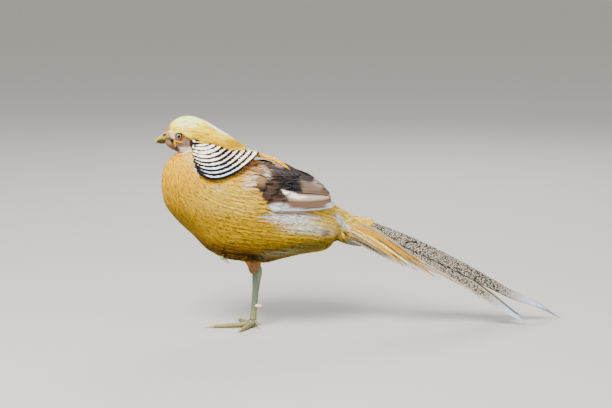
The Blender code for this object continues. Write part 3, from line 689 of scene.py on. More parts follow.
@dataclass(frozen=True)
class Plumage:
    """Feather keratin, grown in barbs: a soft matt vane with a silky gloss along the barbs."""

    name: str
    grain: Grain = Grain.SILKY
    marking: Marking = Marking.NONE
    ink: str = "#1E1A1C"
    barb: float = 0.55        # real barbs lie about 0.2 mm apart, drawn coarser so that they show
    contrast: float = 0.34
    roughness: float = 0.58
    sheen: float = 0.02
    glow: float = 0.35        # share of the light that passes through the loose barbs
    mark_size: float = 2.3    # width of a band or bar, or cell of a net, in millimetres
    barb_slant: float = 1.3   # how steeply closed barbs leave the shaft
    barb_drift: float = 0.16  # how fast the grain changes along a barb, for each millimetre
    band_waver: float = 1.6   # how far a band's edge wavers, in millimetres
    edge_blur: float = 0.35   # how soft a band's edge is, in millimetres
    bar_slant: float = 0.7
    bar_waver: float = 3.0

    def marks(self, tree: bpy.types.NodeTree, across: Any, tip: Any, seed: Any) -> bpy.types.Node:
        """The mask of the dark marking.

        Args:
            tree: The material's node tree.
            across: Distance off the shaft in millimetres.
            tip: Distance from the tip in millimetres.
            seed: A number of each feather's own.

        Returns:
            The node whose first output is the mask.
        """
        far = add_node(tree, "Math", {"operation": "MULTIPLY", 1: 57.0}, {0: seed})
        place = add_node(tree, "CombineXYZ", {}, {"X": across, "Y": tip, "Z": far})
        wobble = add_node(tree, "TexNoise", {"Scale": 0.9 / self.mark_size, "Detail": 3.0}, {"Vector": place})
        if self.marking is Marking.BAND:
            shift = add_node(tree, "Math", {"operation": "MULTIPLY_ADD", 1: self.band_waver,
                                            2: -self.band_waver / 2}, {0: wobble})
            edge = add_node(tree, "Math", {"operation": "ADD"}, {0: tip, 1: shift})
            return add_node(tree, "MapRange", {"From Min": self.mark_size + self.edge_blur,
                                               "From Max": self.mark_size - self.edge_blur}, {"Value": edge})
        if self.marking is Marking.NET:
            stretch = add_node(tree, "VectorMath", {"operation": "MULTIPLY", 1: (1.8, 0.95, 1.0)}, {0: place})
            warp = add_node(tree, "VectorMath", {"operation": "MULTIPLY_ADD", 1: (1.4, 1.4, 0.0)},
                            {0: wobble.outputs[1], 2: stretch})
            cells = add_node(tree, "TexVoronoi", {
                "feature": "DISTANCE_TO_EDGE", "Scale": 1.0 / self.mark_size, "Randomness": 0.95},
                {"Vector": warp})
            return add_node(tree, "MapRange", {"From Min": 0.2, "From Max": 0.08},
                            {"Value": cells.outputs["Distance"]})
        slant = add_node(tree, "Math", {"operation": "ABSOLUTE"}, {0: across})
        slope = add_node(tree, "Math", {"operation": "MULTIPLY_ADD", 1: self.bar_slant}, {0: slant, 2: tip})
        bent = add_node(tree, "Math", {"operation": "MULTIPLY_ADD", 1: self.bar_waver}, {0: wobble, 2: slope})
        phase = add_node(tree, "Math", {"operation": "MULTIPLY", 1: math.pi / self.mark_size}, {0: bent})
        wave = add_node(tree, "Math", {"operation": "SINE"}, {0: phase})
        return add_node(tree, "MapRange", {"From Min": -0.1, "From Max": 0.5}, {"Value": wave})

    def material(self) -> bpy.types.Material:
        """Build the material.

        Returns:
            The material.
        """
        material, shader, tint = new_material(self.name)
        tree = material.node_tree
        base, seed = tint.outputs["Color"], tint.outputs["Alpha"]
        vane = add_node(tree, "UVMap", {"uv_map": "Vane"})
        split = add_node(tree, "SeparateXYZ", {}, {0: vane})
        across, tip = split.outputs["X"], split.outputs["Y"]
        fine, coarse = across, tip
        if self.grain is Grain.BARBED:
            off = add_node(tree, "Math", {"operation": "ABSOLUTE"}, {0: across})
            fine = add_node(tree, "Math", {"operation": "MULTIPLY_ADD", 1: self.barb_slant}, {0: off, 2: tip})
            coarse = across
        scaled = add_node(tree, "Math", {"operation": "MULTIPLY", 1: 1.0 / self.barb}, {0: fine})
        slow = add_node(tree, "Math", {"operation": "MULTIPLY", 1: self.barb_drift}, {0: coarse})
        own = add_node(tree, "Math", {"operation": "MULTIPLY", 1: 91.0}, {0: seed})
        place = add_node(tree, "CombineXYZ", {}, {"X": scaled, "Y": slow, "Z": own})
        barbs = add_node(tree, "TexNoise", {"Scale": 1.0, "Detail": 2.0}, {"Vector": place})
        shade = add_node(tree, "MapRange", {"From Min": 0.3, "From Max": 0.7, "To Min": 1.0 - self.contrast,
                                            "To Max": 1.0 + self.contrast * 0.6}, {"Value": barbs})
        if self.marking is not Marking.NONE:
            ink = add_node(tree, "Attribute", {"attribute_name": "ink"})
            mask = self.marks(tree, across, tip, seed)
            amount = add_node(tree, "Math", {"operation": "MULTIPLY"}, {0: mask, 1: ink.outputs["Fac"]})
            marked = add_node(tree, "Mix", {"data_type": "RGBA", 7: (*linear(self.ink), 1.0)},
                              {0: amount, 6: base})
            base = marked.outputs[2]
        streaked = add_node(tree, "VectorMath", {"operation": "SCALE"}, {0: base, "Scale": shade})
        bump = add_node(tree, "Bump", {"Strength": 0.5, "Distance": 0.15 * MM}, {"Height": barbs})
        tree.links.new(streaked.outputs[0], shader.inputs["Base Color"])
        tree.links.new(bump.outputs[0], shader.inputs["Normal"])
        set_inputs(shader, {"Roughness": self.roughness, "IOR": 1.55, "Specular IOR Level": 0.07,
                            "Subsurface Weight": self.glow, "Subsurface Radius": (1.0, 0.75, 0.4),
                            "Subsurface Scale": 2.2 * MM, "Sheen Weight": self.sheen, "Sheen Roughness": 0.4})
        return material


@dataclass(frozen=True)
class Hide:
    """Bare skin or horn, grown in fine creases or growth lines: satin, a little uneven."""

    name: str
    roughness: float = 0.5
    coat: float = 0.0
    grain: float = 0.8        # size of the creases in millimetres
    contrast: float = 0.15
    bump: float = 0.3
    gloss: float = 0.35       # strength of the plain reflection

    def material(self) -> bpy.types.Material:
        """Build the material.

        Returns:
            The material.
        """
        material, shader, tint = new_material(self.name)
        tree = material.node_tree
        place = add_node(tree, "TexCoord")
        creases = add_node(tree, "TexNoise", {"Scale": 1.0 / (self.grain * MM), "Detail": 3.0},
                           {"Vector": place.outputs["Object"]})
        shade = add_node(tree, "MapRange", {"From Min": 0.3, "From Max": 0.7, "To Min": 1.0 - self.contrast,
                                            "To Max": 1.0 + self.contrast}, {"Value": creases})
        mixed = add_node(tree, "VectorMath", {"operation": "SCALE"},
                         {0: tint.outputs["Color"], "Scale": shade})
        bump = add_node(tree, "Bump", {"Strength": self.bump, "Distance": 0.2 * MM}, {"Height": creases})
        tree.links.new(mixed.outputs[0], shader.inputs["Base Color"])
        tree.links.new(bump.outputs[0], shader.inputs["Normal"])
        set_inputs(shader, {"Roughness": self.roughness, "IOR": 1.5, "Specular IOR Level": self.gloss,
                            "Coat Weight": self.coat, "Coat Roughness": 0.05})
        return material


@dataclass
class Piece:
    """One object in the making: points, faces, colours and both maps of all its closed forms.

    softness is how far the light falls as on the surface under the feathers: loose barbs let light
    through, so that a coat of them shows far softer shades than the faces of its vanes.
    """

    name: str
    finish: Plumage | Hide
    slot: str
    softness: float = 0.0
    points: list = field(default_factory=list)
    normals: list = field(default_factory=list)
    faces: list = field(default_factory=list)
    tints: list = field(default_factory=list)
    inks: list = field(default_factory=list)
    vanes: list = field(default_factory=list)
    bakes: list = field(default_factory=list)
    total: int = 0

    def add(self, points: Array, faces: Array, tint: Array, vane: Array | None = None,
            bake: Array | None = None, ink: float | Array = 1.0,
            normals: Array | None = None) -> None:
        """Add one form.

        Args:
            points: Its points in millimetres.
            faces: Its faces, three or four points each.
            tint: Colour of each point, with the form's own number as the fourth.
            vane: Distance off the shaft and from the tip of each point.
            bake: Place of each point on the unwrap.
            ink: How strong the dark marking is at each point.
            normals: Outward directions of the surface under each point.
        """
        count = len(points)
        self.points.append(points)
        self.normals.append(np.zeros((count, 3)) if normals is None else normals)
        self.faces.append(faces + self.total)
        full = np.ones((count, 4))
        full[:, :tint.shape[-1]] = tint
        self.tints.append(full)
        self.inks.append(np.broadcast_to(ink, (count,)))
        self.vanes.append(np.zeros((count, 2)) if vane is None else vane)
        self.bakes.append(np.full((count, 2), 0.5) if bake is None else bake)
        self.total += count

    def feathers(self, group: Feathers, tint: Array, ink: float | Array = 1.0,
                 unwrap: tuple[float, float] | None = None) -> None:
        """Add a group of feathers.

        Args:
            group: The laid feathers.
            tint: A colour a point, or one a feather.
            ink: Strength of the marking, one number or one a point.
            unwrap: Size of the skin in stations and turns, where each feather is a small patch at
                its root. Without it each feather gets a strip of its own.
        """
        count, many = group.points.shape[:2]
        if tint.ndim == 2:
            tint = np.repeat(tint[:, None], many, axis=1)
        full = np.concatenate([tint, np.repeat(group.seeds[:, None, None], many, axis=1)], axis=-1)
        local = np.stack([group.across / 2, group.along - 0.5], axis=-1)
        if unwrap is None:
            strip = (np.arange(count)[:, None] + 0.5 + 0.46 * group.across[None]) / count
            bake = np.stack([strip, np.broadcast_to(0.01 + 0.98 * group.along, (count, many))], axis=-1)
        else:
            station, turn = (group.roots / unwrap).T
            root = np.stack([station, np.mod(turn, 1.0)], axis=-1)
            bake = 0.004 + 0.992 * root[:, None] + 0.003 * local[None]
        faces = (group.faces[None] + np.arange(count)[:, None, None] * many).reshape(-1, 4)
        inks = np.broadcast_to(ink, (count, many)).reshape(-1)
        self.add(group.points.reshape(-1, 3), faces, full.reshape(-1, 4), group.vane.reshape(-1, 2),
                 bake.reshape(-1, 2), inks, group.normals.reshape(-1, 3))

    def form(self, rings: Array, base: str, patches: list | None = None, floor: float | None = None) -> None:
        """Add a closed form through rings and paint it.

        Args:
            rings: Ring, point on the ring, coordinate.
            base: Hex colour under the patches.
            patches: Patches of colour laid over it.
            floor: The lowest height a point may have.
        """
        points, faces, unwrap = loft(rings)
        if floor is not None:
            points[:, 2] = np.maximum(points[:, 2], floor)
        self.add(points, faces, paint(points, base, patches or []), None, unwrap)

    def build(self, *nodes: str) -> None:
        """Make the object, put it on the bird and let it stand for CAD nodes.

        Args:
            nodes: The CAD nodes' names.
        """
        mesh = bpy.data.meshes.new(self.name)
        points = np.concatenate(self.points) * MM
        corners = np.concatenate([faces.ravel() for faces in self.faces])
        sizes = np.concatenate([np.full(len(faces), faces.shape[1]) for faces in self.faces])
        starts = np.concatenate([[0], np.cumsum(sizes)[:-1]])
        mesh.vertices.add(len(points))
        mesh.vertices.foreach_set("co", points.ravel())
        mesh.loops.add(len(corners))
        mesh.loops.foreach_set("vertex_index", corners.astype(np.int32))
        mesh.polygons.add(len(sizes))
        mesh.polygons.foreach_set("loop_start", starts.astype(np.int32))
        mesh.update(calc_edges=True)
        for name, parts in (("OFBake", self.bakes), ("Vane", self.vanes)):
            layer = mesh.uv_layers.new(name=name)
            layer.data.foreach_set("uv", np.concatenate(parts)[corners].ravel())
        tint = mesh.color_attributes.new("tint", "FLOAT_COLOR", "POINT")
        tint.data.foreach_set("color", np.concatenate(self.tints).ravel())
        ink = mesh.attributes.new("ink", "FLOAT", "POINT")
        ink.data.foreach_set("value", np.concatenate(self.inks))
        mesh.materials.append(self.finish.material())
        mesh.shade_smooth()
        mesh.validate()
        if self.softness:
            own = np.zeros(len(points) * 3, np.float32)
            mesh.vertices.foreach_get("normal", own)
            own = own.reshape(-1, 3)
            under = np.concatenate(self.normals)
            share = self.softness * (np.abs(under).max(axis=1, keepdims=True) > 0)
            mesh.normals_split_custom_set_from_vertices(unit(own * (1 - share) + under * share).tolist())
        obj = bpy.data.objects.new(self.name, mesh)
        bpy.context.scene.collection.objects.link(obj)
        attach(obj, BODY)
        if nodes:
            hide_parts(*nodes)
        log.info("%s: %d triangles", self.name, int(np.sum(sizes - 2)))


def loft(rings: Array) -> tuple[Array, Array, Array]:
    """A closed tube through rings of points.

    Args:
        rings: Ring, point on the ring, coordinate.

    Returns:
        Points, faces, and the unwrap of each point.
    """
    many, count = rings.shape[:2]
    index = np.arange(many * count).reshape(many, count)
    ahead = np.roll(index, -1, axis=1)
    walls = np.stack([index[:-1], ahead[:-1], ahead[1:], index[1:]], axis=-1).reshape(-1, 4)
    ends = np.stack([rings[0].mean(axis=0), rings[-1].mean(axis=0)])
    first = np.full(count, many * count)
    caps = np.vstack([np.stack([first, ahead[0], index[0], first], axis=-1),
                      np.stack([first + 1, index[-1], ahead[-1], first + 1], axis=-1)])[:, :3]
    across, along = np.meshgrid(np.arange(count) / count, np.arange(many) / max(many - 1, 1))
    unwrap = np.vstack([np.stack([across.ravel(), along.ravel()], axis=1), [[0.5, 0.0], [0.5, 1.0]]])
    points = np.vstack([rings.reshape(-1, 3), ends])
    tris = np.vstack([walls[:, [0, 1, 2]], walls[:, [0, 2, 3]], caps])
    corner = points[tris]
    volume = np.sum(dot(corner[:, 0], np.cross(corner[:, 1], corner[:, 2])))
    return points, tris if volume > 0 else tris[:, ::-1], unwrap


def bar(knots: list, radii: list, rings: int, sides: int) -> Array:
    """Rings of a round bar along a smooth line.

    Args:
        knots: Points of the line.
        radii: Half depth and half width at each knot.
        rings: Number of rings.
        sides: Points on a ring.

    Returns:
        The rings, point 0 of each lying on the side that faces up or forward.
    """
    t = np.linspace(0.0, len(knots) - 1.0, rings)
    line = spline(np.array(knots, float), t)
    size = np.maximum(spline(np.array(radii, float), t), 0.05)
    ahead = unit(np.gradient(line, axis=0))
    deep = np.cross(ahead, [0.0, 1.0, 0.0])
    weak = np.linalg.norm(deep, axis=1) < 0.2
    deep[weak] = np.cross(ahead[weak], [1.0, 0.0, 0.0])
    deep = unit(deep)
    wide = np.cross(ahead, deep)
    angle = (2 * math.pi * np.arange(sides) / sides)[None, :, None]
    return (line[:, None] + deep[:, None] * size[:, None, :1] * np.cos(angle)
            + wide[:, None] * size[:, None, 1:] * np.sin(angle))


BODY_PATCHES = [
    Patch(-105, 225, 44, 46, "#F0A000", 1.0, 0.9),
    Patch(-92, 180, 52, 40, "#CC8A00", 1.0, 1.0),
    # The lower breast and the belly darken downwards: partly the plumage's deeper gold, partly painted shade
    # on the underside
    Patch(-96, 152, 40, 20, "#A07000", 1.0, 1.0, -48),
    Patch(-30, 117, 100, 24, "#683A00", 1.0, 0.9),
    Patch(-42, 109, 70, 11, "#5C3000", 0.9, 0.9),
    Patch(10, 160, 80, 34, "#C48A00", 1.0, 0.9),
    Patch(-25, 200, 62, 26, "#E4A828", 1.0, 0.8),
    Patch(-86, 250, 9, 5, "#F0C078", 0.6, 1.0, -40),
    Patch(-79, 238, 4, 6, "#FFDCB8", 0.6, 1.2),
    Patch(-60, 222, 12, 4.5, "#D89000", 0.8, 0.8, -32),
    Patch(-54, 214, 6, 4, "#FFD69A", 0.5, 1.2, 20),
    Patch(-18, 228, 22, 7, "#D88A1C", 0.6, 1.0, 28),
    Patch(2, 238, 12, 7, "#B4703C", 0.8, 0.9, 40),
    Patch(2, 222, 20, 9, "#F4CCA0", 0.8, 0.9, 20),
    Patch(13, 226, 10, 12, "#CCA678", 0.8, 0.9),
    Patch(12, 210, 12, 8, "#94703C", 0.6, 0.9),
    Patch(54, 167, 36, 8, "#FFFAF0", 0.9, 1.3, -6),
    Patch(74, 154, 38, 11, "#FFEAB8", 0.95, 1.3, -10),
    Patch(88, 161, 18, 5, "#FFD24A", 0.7, 0.9, -20),
    Patch(52, 143, 44, 4, "#F0B420", 0.8, 1.0, -6),
    Patch(36, 161, 18, 2.2, "#E8A830", 0.7, 0.9, -6),
    # dark olive low on the hind belly: partly the plumage's colour, partly painted shade on the underside
    Patch(62, 120, 62, 11, "#6A5810", 0.9, 1.0, 6),
    Patch(30, 114, 30, 5, "#A89460", 0.5, 1.0, 4),
    Patch(100, 168, 10, 6, "#FFC400", 0.8, 0.9, -30),
    Patch(112, 194, 40, 27, "#FFBC30", 1.0, 0.6),
    Patch(150, 150, 30, 22, "#FFC43C", 1.0, 0.7, -28),
    Patch(110, 157, 20, 13, "#F4B83C", 0.75, 1.0, -20),
    Patch(122, 160, 4.2, 14, "#FFFFF0", 0.9, 0.9, 40),
    # painted shadow in the hollow under the belly where the left leg is drawn up
    Patch(-6, 110, 12, 5, "#1E1004", 0.95, 0.8),
    # the next two darker patches are painted shade in the notch between the vent and the tail coverts
    Patch(98, 144, 6, 6, "#463428", 0.7, 0.9),
    Patch(106, 128, 12, 7, "#8E6400", 0.9, 0.8),
    Patch(152, 124, 24, 9, "#A89C88", 0.95, 0.7, -14)]
HEAD_PATCHES = [
    Patch(-91, 259, 16, 7.5, "#ECEADA", 1.0, 0.6),
    Patch(-113, 266, 9, 9, "#7A5444", 0.9, 0.8),
    Patch(-116, 271, 4, 4, "#A8805C", 0.7, 0.8),
    Patch(-104, 261, 4, 5, "#44200F", 0.9, 0.8, 12),
    Patch(-96, 267.5, 11, 3, "#7E5C42", 0.9, 0.8),
    Patch(-89, 272.5, 5, 4, "#80645E", 0.9, 0.8),
    Patch(-83.5, 270, 3.0, 8, "#36190F", 1.0, 0.7),
    # painted shadow under the crest's lower edge over the eye
    Patch(-88.8, 278.2, 6.0, 2.6, "#7A5200", 0.9, 0.8, -14),
    Patch(-112.5, 287, 2.8, 9, "#D8D4C0", 0.9, 0.9, 14),
    Patch(-108, 285, 4, 4, "#B49A78", 0.7, 1.0),
    Patch(-103, 289.5, 11, 4.4, "#F2E27A", 1.0, 0.6),
    Patch(-118.0, 290.0, 3.2, 12, "#B48C00", 1.0, 0.4, 6),
    Patch(-110.2, 273.2, 4.4, 3.0, "#180C0A", 1.0, 0.7, -30),
    Patch(-115.8, 276.4, 4.6, 2.4, "#58382C", 0.8, 0.7),
    Patch(-108.6, 280.2, 1.9, 3.8, "#E8C080", 1.0, 0.5),
    Patch(-100.2, 275.2, 5.4, 1.6, "#704434", 1.0, 0.5, -4)]


def plumage_colour(points: Array, station: Array) -> Array:
    """Colours of the body and head plumage at points on given stations.

    Args:
        points: Points in millimetres.
        station: The points' stations.

    Returns:
        A colour a point.
    """
    body = paint(points, "#D09A14", BODY_PATCHES)
    head = paint(points, "#84644A", HEAD_PATCHES)
    share = smooth((station - NAPE + 0.3) / 0.8)[..., None]
    return head * (1 - share) + body * share


def coat_lie(x: Array) -> Array:
    """How steeply the body feathers lie along the bird: down the breast, straight back on the flank."""
    return np.radians(np.interp(x, (-125, -85, -35, 20, 70, 110, 150), (-68, -46, -13, -4, -9, -20, -27)))


def streaks(points: Array) -> Array:
    """A wavy pattern drawn out along the coat, by which loose feathers fall into locks.

    Args:
        points: Points in millimetres.

    Returns:
        Values from about -1 to 1.
    """
    x, y, z = np.moveaxis(points, -1, 0)
    along = np.linspace(-130.0, 160.0, 60)
    fall = np.cumsum(np.tan(coat_lie(along))) * (along[1] - along[0])
    level = z - np.interp(x, along, fall)
    wide = np.sin(level * 1.05 + 2.1 * np.sin(x / 27 + level / 15) + y / 13)
    fine = np.sin(level * 1.75 + 2.6 * np.sin(x / 18 - level / 10) - y / 9)
    return 0.6 * wide * np.sin(x / 31 + level / 6.5 + 1.0) + 0.4 * fine


def coat_flow(points: Array) -> Array:
    """The way that the body feathers lie, bent up towards the tail under the belly.

    Args:
        points: Points in millimetres.

    Returns:
        The directions.
    """
    rise = smooth((132 - points[..., 2]) / 30) * smooth((points[..., 0] - 5) / 60)
    angle = coat_lie(points[..., 0]) + math.radians(26) * rise
    return np.stack([np.cos(angle), 0 * angle, np.sin(angle)], axis=-1)


def varied(colour: Array, amount: float, draw: Draw) -> Array:
    """Feather colours with each feather a little lighter or darker, and a little redder or paler.

    Args:
        colour: A colour a feather.
        amount: How far lightness varies.
        draw: The random draw.

    Returns:
        The varied colours.
    """
    count = len(colour)
    light = np.exp(draw.normal(0.0, amount, (count, 1)))
    warm = draw.normal(0.0, amount * 0.35, (count, 1)) * np.array([0.0, -0.5, -1.0])
    return np.clip(colour * light * np.exp(warm), 0.0, 1.0)


@dataclass
class Flesh:
    """The skin under the feathers, from the bill to the root of the tail, and the coat on it."""

    stations: int = 220
    spokes: int = 96
    face_depth: float = 0.8
    body_depth: float = 1.7
    eye: tuple[float, float] = (-100.9, 280.3)
    socket: float = 2.6
    skin: Skin = field(default_factory=lambda: Skin.slanted(HEAD_RINGS + BODY_RINGS + STUB_RINGS))

    def depth(self, s: Array) -> Array:
        """How far the skin lies under the solids' face."""
        return self.face_depth + (self.body_depth - self.face_depth) * smooth((s - 2.5) / 4.5)

    def fullness(self, points: Array) -> Array:
        """How much looser the feathers hang at the vent and over the drawn-up leg.

        Args:
            points: Points in millimetres.

        Returns:
            Heights in millimetres.
        """
        x, y, z = np.moveaxis(points, -1, 0)
        leg = np.hypot((x + 8) / 40, (y + 19) / 12)
        locks = np.hypot((x - 30) / 70, (z - 165) / 50)
        return (4.2 * smooth((1.4 - leg) / 0.8) * smooth((124 - z) / 8) + 0.2 * smooth((1.3 - locks) / 0.6)
                + 3.4 * smooth((x - 116) / 22) * smooth((z - 124) / 12))

    def beside(self, x: Array, z: Array) -> Array:
        """How far out the face's surface lies at places seen from the side."""
        s, t = self.skin.side_place(np.asarray(x, float), np.asarray(z, float), 0.0, NAPE + 1.0)
        return np.abs(self.skin.bare(s, t)[..., 1])

    def build_skin(self) -> None:
        """The skin as one closed body."""
        # Skin with down on it: dull, so that the gaps between feathers stay quiet
        finish = Hide("feathered skin", roughness=0.8, grain=1.6, contrast=0.12)
        piece = Piece("skin", finish, "golden_plumage")
        s, t = ring_grid(0.0, self.skin.last, self.stations, self.spokes)
        face = self.skin.bare(s, t)
        near = np.hypot((face[..., 0] - self.eye[0]) / 6.2, (face[..., 2] - self.eye[1]) / 4.9)
        hollow = self.socket * smooth((1.15 - near) / 0.4) * (s < NAPE)
        points = self.skin.point(s, t, -self.depth(s) - hollow)
        middle = points[0].mean(axis=0)
        snout = middle + (points[0] - middle) * 0.66 + (-2.6, 0.0, -0.6)
        shell, faces, unwrap = loft(np.concatenate([snout[None], points]))
        stations = np.concatenate([s[0], s.ravel(), [0.0, self.skin.last]])
        # the skin's colours darkened to 0.85 as painted shade in the gaps between the feathers
        colour = plumage_colour(shell, stations) * 0.85
        piece.add(shell, faces, colour, None, unwrap[:, ::-1])
        piece.build("head", "neck", "torso", "rump")

    def coat(self, name: str, stations: tuple[float, float], turns: tuple[float, float], spacing: Callable,
             size: Callable, cut: Cut, finish: Plumage, slot: str, draw: Draw,
             stray: float, variety: float) -> None:
        """Sow one stretch of the coat.

        Args:
            name: Name of the piece.
            stations: First and last station.
            turns: First and last turn.
            spacing: Distance between roots at stations and turns.
            size: Length, half width and tip's height of feathers at stations and turns.
            cut: The feathers' kind.
            finish: Their material.
            slot: Name of their material slot, kept on the piece but not used.
            draw: The random draw.
            stray: How far the feathers turn off the coat's direction.
            variety: How much their lightness varies.
        """
        s, t = scatter(self.skin, stations, turns, spacing, draw)
        length, half, tip = size(s, t)
        length = length * draw.uniform(0.85, 1.15, len(s))
        flow = coat_flow if stations[0] > NAPE - 1 else None
        track_s, track_t = self.skin.walk(s, t, draw.normal(0.0, stray, len(s)), length, cut.rows, flow)
        f = cut.shares()
        root = -self.depth(s)[:, None] + 0.2
        lift = root + (tip * draw.uniform(0.4, 1.0, len(s)))[:, None] * f + (-root) * f ** 0.5
        if flow is not None:
            lift = lift + self.fullness(self.skin.bare(track_s, track_t)) * f
        group = lay(self.skin, track_s, track_t, half * draw.uniform(0.85, 1.15, len(s)), lift, cut, draw)
        mid = group.points[:, group.along == f[0, cut.rows // 2]].mean(axis=1)
        colour = varied(plumage_colour(mid, track_s[:, cut.rows // 2]), variety, draw)[:, None]
        if flow is not None:
            x = group.points[..., 0]
            lock = streaks(group.points) * np.interp(x, (-100, -50, -20, 90, 130), (0.15, 0.5, 1.1, 1.1, 0.6))
            lock = lock[..., None] * (1.05 - 0.8 * colour[..., 2:])
            colour = np.clip(colour * np.exp(lock * np.array([0.5, 0.7, 1.0])), 0.0, 1.0)
        piece = Piece(name, finish, slot, 0.9)
        piece.feathers(group, colour * group.shade(0.92), 1.0, (self.skin.last, 1.0))
        piece.build()


@dataclass
class Coat:
    """The body feathers and face tufts on the flesh."""

    flesh: Flesh
    body: Cut = Cut(5, 5, 0.5, 0.4, 0.3, 0.06, 0.7, 0.16, 0.05)
    strand: Cut = Cut(5, 3, 0.6, 0.4, 0.15, 0.05, 0.0, 0.15, 0.0)
    shoulder: Cut = Cut(7, 3, 0.6, 0.4, 0.1, 0.08, 0.0, 0.16, 0.0)
    tuft: Cut = Cut(4, 3, 0.5, 0.4, 0.3, 0.1, 0.5, 0.22, 0.1)
    spacing: float = 2.5
    strand_spacing: float = 2.0
    tuft_spacing: float = 1.05

    def under_wing(self, s: Array, t: Array) -> Array:
        """True where a closed wing hides the coat.

        Args:
            s: First coordinates.
            t: Second coordinates.

        Returns:
            True or False a place.
        """
        points = self.flesh.skin.bare(s, t)
        x, z = points[..., 0], points[..., 2]
        side = np.abs(points[..., 1]) > 22
        return side & (x > 22) & (x < 92) & (z > 190 + 0.12 * (x - 22)) & (z < 236 - 0.30 * (x - 22))

    def under_cape(self, s: Array, t: Array) -> Array:
        """True where the cape hides the coat.

        Args:
            s: First coordinates.
            t: Second coordinates.

        Returns:
            True or False a place.
        """
        points = self.flesh.skin.bare(s, t)
        far = np.hypot(points[..., 0] + 43.5, points[..., 2] - 283.5)
        return (far < 56) & (points[..., 0] > -74)

    def body_spacing(self, gap: float) -> Callable:
        """Spacing of body feathers, with the hidden parts left bare.

        Args:
            gap: The widest distance between roots.

        Returns:
            A function of stations and turns.
        """
        def spacing(s: Array, t: Array) -> Array:
            """The spacing, 0 where the coat is hidden."""
            hidden = self.under_wing(s, t) | self.under_cape(s, t)
            return np.where(hidden, 0.0, gap * (0.8 + 0.2 * smooth((s - NAPE) / 3)))

        return spacing

    def body_size(self, s: Array, t: Array) -> tuple[Array, Array, Array]:
        """Length, half width and tip height of body feathers.

        Args:
            s: First coordinates.
            t: Second coordinates; not used.

        Returns:
            The three sizes.
        """
        grow = smooth((s - NAPE) / 4)
        end = smooth((s - TAIL_ROOT + 1.0) / 2)
        return 9.0 + 13.0 * grow + 4.0 * end, 1.5 + 0.6 * grow, 0.1 + 0.12 * grow

    def strand_size(self, s: Array, t: Array) -> tuple[Array, Array, Array]:
        """Length, half width and tip height of loose silky strands."""
        grow = smooth((s - NAPE) / 4)
        return 12.0 + 18.0 * grow, 0.3 + 0 * s, 0.2 + 0.22 * grow

    def shoulder_spacing(self, s: Array, t: Array) -> Array:
        """Spacing of the feathers that lie over the front of the closed wing.

        Args:
            s: First coordinates.
            t: Second coordinates.

        Returns:
            Distances, 0 where nothing grows.
        """
        points = self.flesh.skin.bare(s, t)
        x, z = points[..., 0], points[..., 2]
        edge = np.interp(z, (178, 190, 205, 222, 240), (12, 10, 4, 0, 0))
        return np.where((x > edge - 16) & (x < edge + 5) & (z > 180) & (z < 238), 1.05, 0.0)

    def shoulder_size(self, s: Array, t: Array) -> tuple[Array, Array, Array]:
        """Length, half width and tip height of the feathers over the front of the wing."""
        return 17.0 + 7.0 * np.sin(61 * s + 190 * t), 0.5 + 0 * s, 5.8 + 0 * s

    def face_spacing(self, s: Array, t: Array) -> Array:
        """Spacing of the tufts on face and throat, bare round the eyes.

        Args:
            s: First coordinates.
            t: Second coordinates.

        Returns:
            Distances, 0 where nothing grows.
        """
        points = self.flesh.skin.bare(s, t)
        x, z = points[..., 0], points[..., 2]
        eye = np.hypot((x - self.flesh.eye[0]) / 6.4, (z - self.flesh.eye[1]) / 5.0)
        gap = self.tuft_spacing * (1.0 + 0.5 * smooth((s - 3.0) / 3.5))
        return np.where(eye < 1.0, 0.0, gap)

    def face_size(self, s: Array, t: Array) -> tuple[Array, Array, Array]:
        """Length, half width and tip height of the face tufts."""
        grow = smooth((s - 1.5) / 5.0)
        return 2.6 + 5.5 * grow, 0.42 + 0.7 * grow, 0.15 + 0.2 * grow

    def build(self, draw: Draw) -> None:
        """Sow the whole coat.

        Args:
            draw: The random draw.
        """
        # Loose barbs without hooklets let light through: a soft golden glow with fine streaks
        gold = Plumage("silky golden body feathers", contrast=0.16, barb=0.9, glow=0.6)
        # Short dense tufts: an even, velvety face
        face = Plumage("short velvety face feathers", barb=0.4, contrast=0.18)
        self.flesh.coat("coat_face", (0.02, NAPE + 0.9), (0.17, 0.83), self.face_spacing, self.face_size,
                        self.tuft, face, "crest_plumage", draw, 0.16, 0.12)
        spread = {"breast": (NAPE + 0.3, 11.6, 0.30, 0.70), "flank_left": (NAPE + 0.6, 15.2, 0.06, 0.30),
                  "flank_right": (NAPE + 0.6, 15.2, 0.70, 0.94), "back": (NAPE + 1.0, 15.2, -0.06, 0.06),
                  "belly": (11.6, 16.6, 0.30, 0.70), "vent": (16.6, 20.6, 0.30, 0.70),
                  "rump": (15.2, 20.2, -0.30, 0.30)}
        for name, (first, last, low, high) in spread.items():
            self.flesh.coat("coat_" + name, (first, last), (low, high), self.body_spacing(self.spacing),
                            self.body_size, self.body, gold, "golden_plumage", draw, 0.06, 0.045)
            self.flesh.coat("strands_" + name, (first, last), (low, high),
                            self.body_spacing(self.strand_spacing), self.strand_size, self.strand, gold,
                            "golden_plumage", draw, 0.09, 0.08)
        for name, low, high in (("left", 0.08, 0.34), ("right", 0.66, 0.92)):
            self.flesh.coat("coat_shoulder_" + name, (NAPE + 1.0, NAPE + 8.0), (low, high),
                            self.shoulder_spacing, self.shoulder_size, self.shoulder, gold,
                            "golden_plumage", draw, 0.2, 0.1)


